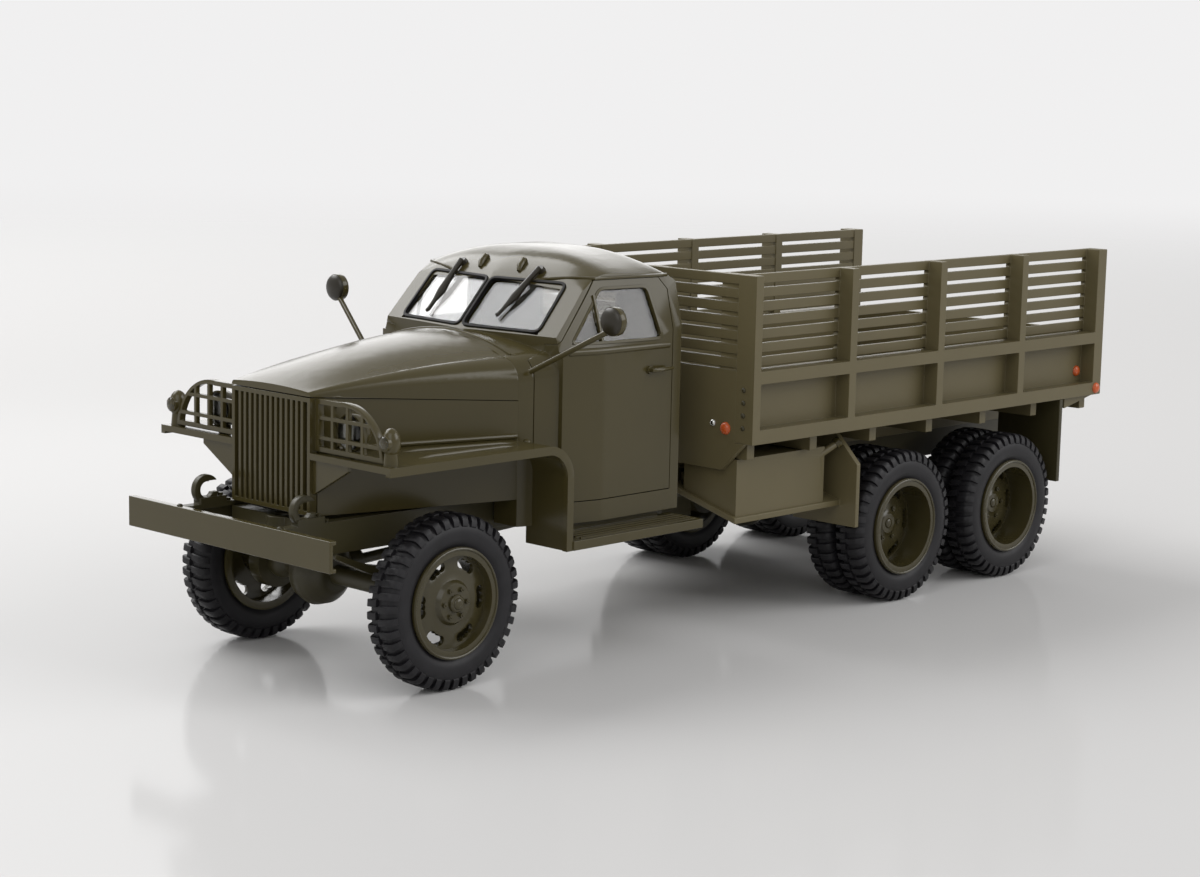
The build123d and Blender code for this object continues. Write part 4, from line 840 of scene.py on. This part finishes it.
DOOR_WINDOW = [
    # x from the front axle, z of the door window's corners
    (-22.6, 40.3),
    (-28.3, 47.0),
    (-36.2, 47.0),
    (-37.6, 40.3),
]
DOOR_WINDOW_MIDDLE = Vector((AXLE_X - 31.5, 0, 43.7))
DOOR_WINDOW_CORNER_R = 0.9
DOOR_WINDOW_STEP = 1.5
DOOR_NORMAL = Vector((0, 1, 0.22))
DOOR_SLOPE = 0.23
WINDOW_FRAME_PROBE = 0.4
WINDOW_FRAME_SINK = 0.4
WINDOW_FRAME_W = 0.42
WINDOW_FRAME_T = 0.55
WINDOW_FRAME_BEVEL = 0.06
VENT_POST_X = AXLE_X - 27.3
VENT_POST_LOW_Z = 39.9
VENT_POST_HIGH_X = AXLE_X - 29.6
VENT_POST_HIGH_Z = 47.5
VENT_POST_FOOT_Z = 40.2
VENT_POST_HEAD_Z = 46.2
VENT_POST_HEAD_SHARE = 0.8
VENT_POST_LEAN = 0.3
VENT_POST_SINK = 0.45
VENT_POST_W = 0.34
VENT_POST_T = 0.4


def door_skin(x, z):
    """A place on the left door's outer face."""
    return surface("door_left", (x, FAR, z), (0, -1, 0))


def make_door_windows():
    """A thin frame round each door window."""
    corners = [(AXLE_X + x, 0, z) for x, z in DOOR_WINDOW]
    path = []
    for point in fill_in(soften(corners, DOOR_WINDOW_CORNER_R), DOOR_WINDOW_STEP):
        probe = point + (point - DOOR_WINDOW_MIDDLE).normalized() * WINDOW_FRAME_PROBE
        place, _ = door_skin(probe.x, probe.z)
        on_door = Vector((point.x, place.y + (probe.z - point.z) * DOOR_SLOPE, point.z))
        path.append(on_door - DOOR_NORMAL * WINDOW_FRAME_SINK)
    frame_ring = Shape()
    frame_ring.strip(path, WINDOW_FRAME_W, WINDOW_FRAME_T, DOOR_NORMAL, closed=True)
    make_pair("door_window_frame", frame_ring, PAINT, bevel=WINDOW_FRAME_BEVEL)


def make_vent_posts():
    """The upright between each door window and its vent pane."""
    low, _ = door_skin(VENT_POST_X, VENT_POST_LOW_Z)
    high, _ = door_skin(VENT_POST_HIGH_X, VENT_POST_HIGH_Z)
    head_y = low.lerp(high, VENT_POST_HEAD_SHARE).y - VENT_POST_SINK
    foot = Vector((VENT_POST_X, low.y - VENT_POST_SINK, VENT_POST_FOOT_Z))
    head = Vector((VENT_POST_X + VENT_POST_LEAN, head_y, VENT_POST_HEAD_Z))
    post = Shape()
    post.strip([foot, head], VENT_POST_W, VENT_POST_T, DOOR_NORMAL)
    make_pair("vent_post", post, PAINT)


BELT_BEAD_Z = 39.3
BELT_FRONT_X = AXLE_X - 21.6
BELT_LENGTH = 17.4
BELT_STEPS = 12
BELT_SINK = 0.28
BELT_R = 0.5


def make_belt():
    """The rounded fold under the door window, which catches the light."""
    path = []
    for step in range(BELT_STEPS + 1):
        place, _ = door_skin(BELT_FRONT_X - BELT_LENGTH * step / BELT_STEPS, BELT_BEAD_Z)
        path.append(place - Vector((0, BELT_SINK, 0)))
    bead = Shape()
    bead.tube(path, BELT_R, sides=16)
    make_pair("belt_bead", bead, PAINT)


HANDLE_X = AXLE_X - 35.3
HANDLE_Z = 36.3
HANDLE_BOSS_SINK = 0.2
HANDLE_BOSS_H = 0.3
HANDLE_BOSS_R = 0.62
HANDLE_BOSS_TOP_R = 0.55
HANDLE_STEM_H = 0.75
HANDLE_STEM_RADII = [0.3, 0.32]
HANDLE_ROWS = [
    # x, y and z from the boss, radius
    (-0.5, 0.95, 0.0, 0.3),
    (-2.0, 0.95, 0.05, 0.27),
    (-3.7, 0.75, 0.05, 0.2),
]


def make_handles():
    """A lever on each door, on a round boss."""
    boss, normal = door_skin(HANDLE_X, HANDLE_Z)
    lever = Shape()
    lever.rod(boss - normal * HANDLE_BOSS_SINK, boss + normal * HANDLE_BOSS_H,
              HANDLE_BOSS_R, HANDLE_BOSS_TOP_R, sides=16)
    grip = [boss + Vector((x, y, z)) for x, y, z, _ in HANDLE_ROWS]
    grip_radii = [radius for _, _, _, radius in HANDLE_ROWS]
    lever.tube([boss, boss + normal * HANDLE_STEM_H] + grip, HANDLE_STEM_RADII + grip_radii)
    make_pair("door_handle", lever, PAINT)


DRIP_RAIL_R = 0.24
DRIP_RAIL_LIFT = 0.05
DRIP_RAIL_Z = 48.25
DRIP_RAIL_FRONT = -26.8
DRIP_RAIL_STEP = 1.1
DRIP_RAIL_POINTS = 13
DRIP_RAIL_BEND = [
    # x from the front axle, z of the end that bends down
    (-25.0, 47.4),
    (-25.8, 47.9),
]


def make_drip_rail():
    """A narrow rail along each side of the roof, bent down a little at the windshield."""
    level = [(DRIP_RAIL_FRONT - DRIP_RAIL_STEP * step, DRIP_RAIL_Z) for step in range(DRIP_RAIL_POINTS)]
    path = []
    for x, z in DRIP_RAIL_BEND + level:
        place, _ = surface("cab_shell", (AXLE_X + x, FAR, z), (0, -1, 0))
        path.append(place + Vector((0, DRIP_RAIL_LIFT, 0)))
    rail = Shape()
    rail.tube(path, DRIP_RAIL_R, sides=8)
    make_pair("drip_rail", rail, PAINT)


COWL_BEAD_X = AXLE_X - 16.4
COWL_BEAD_HALF_W = 12
COWL_BEAD_R = 0.16


def make_cowl_bead():
    """A fine raised line across the cowl, ahead of the windshield."""
    path = []
    for y in range(-COWL_BEAD_HALF_W, COWL_BEAD_HALF_W + 1):
        place, _ = surface("cab_shell", (COWL_BEAD_X, y, FAR), (0, 0, -1))
        path.append(place)
    bead = Shape()
    bead.tube(path, COWL_BEAD_R, sides=8)
    make("cowl_bead", bead, PAINT, "chassis")


MIRROR_HEAD_R = 1.8
MIRROR_GLASS_R = MIRROR_HEAD_R - 0.3
MIRROR_GLASS_H = 0.14
MIRROR_BACK_R = MIRROR_HEAD_R - 0.05
MIRROR_BACK_H = 0.7


def make_mirror_glasses():
    """The glass on each mirror's rear face and the rounded back ahead of it."""
    low, high = span("mirror_left")
    behind = Vector((low.x - FAR, high.y - MIRROR_HEAD_R, high.z - MIRROR_HEAD_R))
    place, normal = surface("mirror_left", behind, (1, 0, 0))
    glass = Shape()
    glass.dome(place, normal, MIRROR_GLASS_R, MIRROR_GLASS_H, sides=32)
    make_pair("mirror_glass", glass, MIRROR)
    place, normal = surface("mirror_left", behind + Vector((2 * FAR, 0, 0)), (-1, 0, 0))
    back = Shape()
    back.dome(place, normal, MIRROR_BACK_R, MIRROR_BACK_H, sides=32, rows=7)
    make_pair("mirror_back", back, WIPER_PAINT)


make_door_windows()
make_vent_posts()
make_belt()
make_handles()
make_drip_rail()
make_cowl_bead()
make_mirror_glasses()


# Nose and fenders

RIB_R = 0.28
RIB_STEPS = 8
RIB_SINK = 0.02
RIB_END_SINK = 0.25
FENDER_RIBS = [
    # front and rear end of a rib: x from the front axle and y
    ((3.1, 13.6), (-12.6, 16.9)),
    ((4.6, 18.3), (-11.0, 18.6)),
]
SEAM_BEAD_FRONT = 8.5
SEAM_BEAD_REAR = -15.0
SEAM_BEAD_STEPS = 11
SEAM_BEAD_PROBE = 0.9
SEAM_BEAD_RISE = 0.3
SEAM_BEAD_LIFT = 0.12
SEAM_BEAD_R = 0.34
FENDER_STUD = (AXLE_X - 15.2, 16.4)
FENDER_STUD_R = 0.55
FENDER_STUD_H = 0.4


def fender_top(x, y):
    """A place on the left fender, met from above."""
    return surface("front_fender_left", (x, y, FAR), (0, 0, -1))[0]


def make_fender_ribs():
    """Two pressed ribs on each fender, the bead at the hood's side, and a stud behind them."""
    ribs = Shape()
    for start, end in FENDER_RIBS:
        path = []
        for step in range(RIB_STEPS + 1):
            x, y = [a + (b - a) * step / RIB_STEPS for a, b in zip(start, end)]
            sink = RIB_END_SINK if step in (0, RIB_STEPS) else RIB_SINK
            path.append(fender_top(AXLE_X + x, y) - Vector((0, 0, sink)))
        ribs.tube(path, RIB_R)
    path = []
    for step in range(SEAM_BEAD_STEPS + 1):
        x = AXLE_X + SEAM_BEAD_FRONT + (SEAM_BEAD_REAR - SEAM_BEAD_FRONT) * step / SEAM_BEAD_STEPS
        place, _ = surface("front_fender_left", (x, FAR, FENDER_TOP_Z + SEAM_BEAD_PROBE), (0, -1, 0))
        path.append(Vector((x, place.y + SEAM_BEAD_LIFT, FENDER_TOP_Z + SEAM_BEAD_RISE)))
    ribs.tube(path, SEAM_BEAD_R)
    ribs.dome(fender_top(*FENDER_STUD), (0, 0, 1), FENDER_STUD_R, FENDER_STUD_H)
    make_pair("fender_ribs", ribs, PAINT)


BUMPER_BOLT_BACK = 0.6
BUMPER_BOLT_Y = 9.7
BUMPER_BOLT_R = 0.4
BUMPER_BOLT_H = 0.3
HOOK_BOLT_XS = (11.4, 12.6)
HOOK_BOLT_Y = 9.45
HOOK_BOLT_R = 0.36
HOOK_BOLT_H = 0.3


def make_bolts():
    """Round bolt heads on the bumper and on the foot plates of the hooks."""
    bolts = Shape()
    bumper_bolt_x = span("front_bumper")[1].x - BUMPER_BOLT_BACK
    place, normal = surface("front_bumper", (bumper_bolt_x, BUMPER_BOLT_Y, FAR), (0, 0, -1))
    bolts.dome(place, normal, BUMPER_BOLT_R, BUMPER_BOLT_H, sides=14, rows=4)
    for x in HOOK_BOLT_XS:
        place, normal = surface("frame_rail_left", (AXLE_X + x, HOOK_BOLT_Y, FAR), (0, 0, -1))
        bolts.rod(place, place + normal * HOOK_BOLT_H, HOOK_BOLT_R, sides=6)
    make_pair("front_bolts", bolts, PLASTIC)


make_fender_ribs()
make_bolts()


# Bed, boxes and dashboard

BED_LOW, BED_HIGH = span("bed_side_left")
REFLECTOR_R = 0.85
FRONT_REFLECTOR = (20.6, 27.7)
FRONT_REFLECTOR_H = 0.55
SIDE_REFLECTOR_H = 0.5
SIDE_REFLECTORS = [
    # x from the bed's tail, z
    (3.5, 29.5),
    (1.3, 26.9),
]
SILVER_REFLECTOR = (18.4, 28.2)
SILVER_REFLECTOR_R = 0.5
SILVER_REFLECTOR_H = 0.4
BOARD_BOLT_ZS = (28.0, 29.7, 31.4, 33.1)
BOARD_BOLT_INSET = 1.7
BOARD_BOLT_R = 0.36
BOARD_BOLT_H = 0.26


def make_reflectors():
    """Small round reflectors on the front board and near the tail."""
    orange = Shape()
    place, normal = surface("bed_front", (FAR, *FRONT_REFLECTOR), (-1, 0, 0))
    orange.dome(place, normal, REFLECTOR_R, FRONT_REFLECTOR_H, sides=20)
    for x, z in SIDE_REFLECTORS:
        place, normal = surface("bed_side_left", (BED_LOW.x + x, FAR, z), (0, -1, 0))
        orange.dome(place, normal, REFLECTOR_R, SIDE_REFLECTOR_H, sides=20)
    make_pair("reflectors_orange", orange, ORANGE_LENS)
    silver = Shape()
    place, normal = surface("bed_front", (FAR, *SILVER_REFLECTOR), (-1, 0, 0))
    silver.dome(place, normal, SILVER_REFLECTOR_R, SILVER_REFLECTOR_H)
    make_pair("reflector_silver", silver, MIRROR)


def make_board_bolts():
    """A row of bolt heads up the front corner of each bed side."""
    bolts = Shape()
    for z in BOARD_BOLT_ZS:
        place, normal = surface("bed_side_left", (FAR, BED_HIGH.y - BOARD_BOLT_INSET, z), (-1, 0, 0))
        bolts.dome(place, normal, BOARD_BOLT_R, BOARD_BOLT_H, sides=12, rows=4)
    make_pair("board_bolts", bolts, PLASTIC)


STRIPS = 7
STRIP_PITCH = 6.0
STRIP_HALF_W = 0.5
STRIP_END_GAP = 2.6
STRIP_SINK = 0.05
STRIP_RISE = 0.09
STRIP_PROBE_X = -34.0


def make_bed_strips():
    """Raised strips along the bed floor."""
    strips = Shape()
    rear_x = BED_LOW.x + STRIP_END_GAP
    front_x = BED_HIGH.x - STRIP_END_GAP
    for number in range(STRIPS):
        y = STRIP_PITCH * (number - (STRIPS - 1) / 2)
        floor, _ = surface("bed_floor", (STRIP_PROBE_X, y, FAR), (0, 0, -1))
        strips.block((rear_x, y - STRIP_HALF_W, floor.z - STRIP_SINK),
                     (front_x, y + STRIP_HALF_W, floor.z + STRIP_RISE))
    make("bed_floor_strips", strips, PLASTIC, "chassis")


BOARD_RIBS = 5
BOARD_RIB_PITCH = 0.95
BOARD_RIB_HALF_W = 0.16
BOARD_RIB_INSET = 1.1
BOARD_RIB_REAR_GAP = 0.5
BOARD_RIB_FRONT_GAP = 2.2
BOARD_RIB_SINK = 0.1
BOARD_RIB_RISE = 0.12


def make_board_ribs():
    """Fine ribs along the top of each running board."""
    low, high = span("running_board_left")
    ribs = Shape()
    for number in range(BOARD_RIBS):
        y = high.y - BOARD_RIB_INSET - BOARD_RIB_PITCH * number
        top, _ = surface("running_board_left", ((low.x + high.x) / 2, y, FAR), (0, 0, -1))
        ribs.block((low.x + BOARD_RIB_REAR_GAP, y - BOARD_RIB_HALF_W, top.z - BOARD_RIB_SINK),
                   (high.x - BOARD_RIB_FRONT_GAP, y + BOARD_RIB_HALF_W, top.z + BOARD_RIB_RISE))
    make_pair("running_board_ribs", ribs, PAINT)


CAP_PLACE = Vector((0.4, -0.5, -0.5))
CAP_WAY = Vector((-0.55, 0.45, 0.55)).normalized()
CAP_SINK = 0.5
CAP_RISE = 0.25
CAP_R = 0.75
CAP_DOME_R = 0.62
CAP_DOME_H = 0.2
CAP_BEVEL = 0.06


def make_filler_cap():
    """The cap on the tank's upper rear corner."""
    low, high = span("fuel_tank")
    neck = Vector((low.x, high.y, high.z)) + CAP_PLACE
    top = neck + CAP_WAY * CAP_RISE
    cap = Shape()
    cap.rod(neck - CAP_WAY * CAP_SINK, top, CAP_R, sides=20)
    cap.dome(top, CAP_WAY, CAP_DOME_R, CAP_DOME_H, sides=20, rows=4)
    make("filler_cap", cap, PAINT, "chassis", bevel=CAP_BEVEL)


BOX_FITTINGS = [
    # share of the box's length, size: hinge, latch, hinge
    (0.2, 0.7),
    (0.5, 0.9),
    (0.8, 0.7),
]
FITTING_RISE = 1.2
FITTING_OUT = 0.3
FITTING_SINK = 0.1
FITTING_PIN_OUT = 0.15
FITTING_PIN_R = 0.25


def make_box_fittings():
    """The latch and hinges of the tool box."""
    low, high = span("tool_box")
    middle_z = (low.z + high.z) / 2
    fittings = Shape()
    for share, size in BOX_FITTINGS:
        x = low.x + (high.x - low.x) * share
        place, _ = surface("tool_box", (x, -FAR, middle_z + FITTING_RISE), (0, 1, 0))
        rear_x, front_x = x - size / 2, x + size / 2
        fittings.block((rear_x, place.y - FITTING_OUT, place.z - size),
                       (front_x, place.y + FITTING_SINK, place.z + size))
        pin_y = place.y - FITTING_PIN_OUT
        fittings.rod((rear_x - FITTING_PIN_OUT, pin_y, place.z + size),
                     (front_x + FITTING_PIN_OUT, pin_y, place.z + size), FITTING_PIN_R, sides=10)
    make("tool_box_fittings", fittings, PLASTIC, "chassis")


DIAL_X = AXLE_X - 30.0
DIAL_YS = (-2.4, 0.0, 2.4)
DIAL_Z = 34.8
DIAL_R = 0.75
DIAL_SINK = 0.1
DIAL_RISE = 0.08
DIAL_RING_R = 0.82
DIAL_RING_WIRE_R = 0.1
DIAL_RING_RISE = 0.05


def make_dials():
    """Three plain dials on the dashboard."""
    dials = Shape()
    rims = Shape()
    angles = [math.pi / 3 * step for step in range(6)]
    ring = [(DIAL_RING_R + DIAL_RING_WIRE_R * math.cos(a), DIAL_RING_WIRE_R * math.sin(a)) for a in angles]
    for y in DIAL_YS:
        place, normal = surface("dashboard", (DIAL_X, y, DIAL_Z), (1, 0, 0))
        dials.rod(place - normal * DIAL_SINK, place + normal * DIAL_RISE, DIAL_R, sides=24)
        rims.turned(ring, 32, matrix=aim(place + normal * DIAL_RING_RISE, normal))
    make("dials", dials, TRIM, "chassis")
    make("dial_rims", rims, MIRROR, "chassis")


make_reflectors()
make_board_bolts()
make_bed_strips()
make_board_ribs()
make_filler_cap()
make_box_fittings()
make_dials()


# Camera, light and ground

def make_camera():
    """The photograph's camera."""
    data = bpy.data.cameras.new("camera")
    data.lens = CAMERA_LENS
    data.sensor_width = CAMERA_SENSOR_W
    data.clip_start = CAMERA_NEAR
    data.clip_end = CAMERA_FAR
    camera = bpy.data.objects.new("camera", data)
    bpy.context.scene.collection.objects.link(camera)
    ahead = Vector((
        -math.cos(CAMERA_ELEVATION) * math.cos(CAMERA_AZIMUTH),
        -math.cos(CAMERA_ELEVATION) * math.sin(CAMERA_AZIMUTH),
        -math.sin(CAMERA_ELEVATION),
    ))
    level = ahead.cross(Vector((0, 0, 1))).normalized()
    lift = level.cross(ahead)
    c, s = math.cos(CAMERA_ROLL), math.sin(CAMERA_ROLL)
    right = c * level + s * lift
    up = c * lift - s * level
    turn = Matrix((right, up, -ahead)).transposed().to_4x4()
    camera.matrix_world = Matrix.Translation(CAMERA_PLACE * MM) @ turn
    bpy.context.scene.camera = camera


def area_light(name, place, target, width, height, power):
    """A softbox that lights the model and stays out of the picture."""
    data = bpy.data.lights.new(name, "AREA")
    data.shape = "RECTANGLE"
    data.size = width
    data.size_y = height
    data.energy = power
    light = bpy.data.objects.new(name, data)
    bpy.context.scene.collection.objects.link(light)
    way = Vector(target) - Vector(place)
    light.matrix_world = Matrix.Translation(Vector(place)) @ way.to_track_quat("-Z", "Y").to_matrix().to_4x4()
    light.visible_camera = False


LIGHT_ROWS = [
    # name, place and target in metres, width, height, power in watts
    ("key_softbox", (0.12, -0.62, 0.66), (0.0, 0.0, 0.02), 0.85, 0.5, 5.6),
    ("back_softbox", (-0.69, -0.98, 0.45), (0.0, 0.0, 0.05), 0.9, 0.6, 3.0),
    ("fill_softbox", (0.9, 0.5, 0.75), (0.0, 0.0, 0.02), 0.9, 0.9, 3.0),
    ("side_softbox", (-0.65, 0.85, 0.6), (-0.03, 0.0, 0.03), 0.9, 0.7, 5.5),
]
AMBIENT_STRENGTH = 0.62
SHOWN_STRENGTH = 1.0


def make_world():
    """A pale background, with a gentler light of its own on the model."""
    world = bpy.data.worlds.new("studio")
    bpy.context.scene.world = world
    world.use_nodes = True
    tree = world.node_tree
    tree.nodes.clear()
    out = tree.nodes.new("ShaderNodeOutputWorld")
    mix = tree.nodes.new("ShaderNodeMixShader")
    ambient = tree.nodes.new("ShaderNodeBackground")
    ambient.inputs["Color"].default_value = (*BACKDROP, 1)
    ambient.inputs["Strength"].default_value = AMBIENT_STRENGTH
    shown = tree.nodes.new("ShaderNodeBackground")
    shown.inputs["Color"].default_value = (*BACKDROP, 1)
    shown.inputs["Strength"].default_value = SHOWN_STRENGTH
    path = tree.nodes.new("ShaderNodeLightPath")
    seen = tree.nodes.new("ShaderNodeMath")
    seen.operation = "MAXIMUM"
    tree.links.new(path.outputs["Is Camera Ray"], seen.inputs[0])
    tree.links.new(path.outputs["Is Transmission Ray"], seen.inputs[1])
    tree.links.new(seen.outputs[0], mix.inputs["Fac"])
    tree.links.new(ambient.outputs[0], mix.inputs[1])
    tree.links.new(shown.outputs[0], mix.inputs[2])
    tree.links.new(mix.outputs[0], out.inputs["Surface"])


# The ground's size in millimetres, and in metres where it starts and ends to fade
GROUND_R = 3000.0
GROUND_STEPS = 96
GROUND_DROP = 0.01
FADE_START = 0.28
FADE_END = 1.1
FLOOR_GLOSS = 0.06


def floor_material():
    """Glossy white acrylic that fades into the background far from the model."""
    material, tree, shader = new_material("white_acrylic")
    shader.inputs["Base Color"].default_value = (*FLOOR_COLOUR, 1)
    shader.inputs["Specular IOR Level"].default_value = 0.0
    shader.inputs["Roughness"].default_value = 1.0
    gloss = tree.nodes.new("ShaderNodeBsdfGlossy")
    gloss.inputs["Color"].default_value = (*WHITE, 1)
    vary_roughness(tree, gloss, low=0.1, high=0.13, texture=noise(tree, scale=0.01))
    sheen = tree.nodes.new("ShaderNodeMixShader")
    sheen.inputs["Fac"].default_value = FLOOR_GLOSS
    tree.links.new(shader.outputs["BSDF"], sheen.inputs[1])
    tree.links.new(gloss.outputs["BSDF"], sheen.inputs[2])
    place = tree.nodes.new("ShaderNodeTexCoord")
    length = tree.nodes.new("ShaderNodeVectorMath")
    length.operation = "LENGTH"
    tree.links.new(place.outputs["Object"], length.inputs[0])
    fade = tree.nodes.new("ShaderNodeMapRange")
    fade.interpolation_type = "SMOOTHSTEP"
    fade.inputs["From Min"].default_value = FADE_START
    fade.inputs["From Max"].default_value = FADE_END
    tree.links.new(length.outputs["Value"], fade.inputs["Value"])
    gone = tree.nodes.new("ShaderNodeBsdfTransparent")
    mix = tree.nodes.new("ShaderNodeMixShader")
    tree.links.new(fade.outputs["Result"], mix.inputs["Fac"])
    tree.links.new(sheen.outputs["Shader"], mix.inputs[1])
    tree.links.new(gone.outputs["BSDF"], mix.inputs[2])
    tree.links.new(mix.outputs["Shader"], tree.nodes["Material Output"].inputs["Surface"])
    return material


def make_floor():
    """A wide disc under the tyres, staged so that it is no part of the model."""
    shape = Shape()
    shape.add(ring_points(GROUND_R, -GROUND_DROP, GROUND_STEPS), [tuple(range(GROUND_STEPS))])
    mesh = bpy.data.meshes.new("ground")
    mesh.from_pydata([point * MM for point in shape.points], [], shape.faces)
    mesh.materials.append(floor_material())
    ground = bpy.data.objects.new("ground", mesh)
    bpy.context.scene.collection.objects.link(ground)


make_camera()
make_world()
make_floor()
for row in LIGHT_ROWS:
    area_light(*row)

bpy.context.scene.view_settings.view_transform = "Standard"
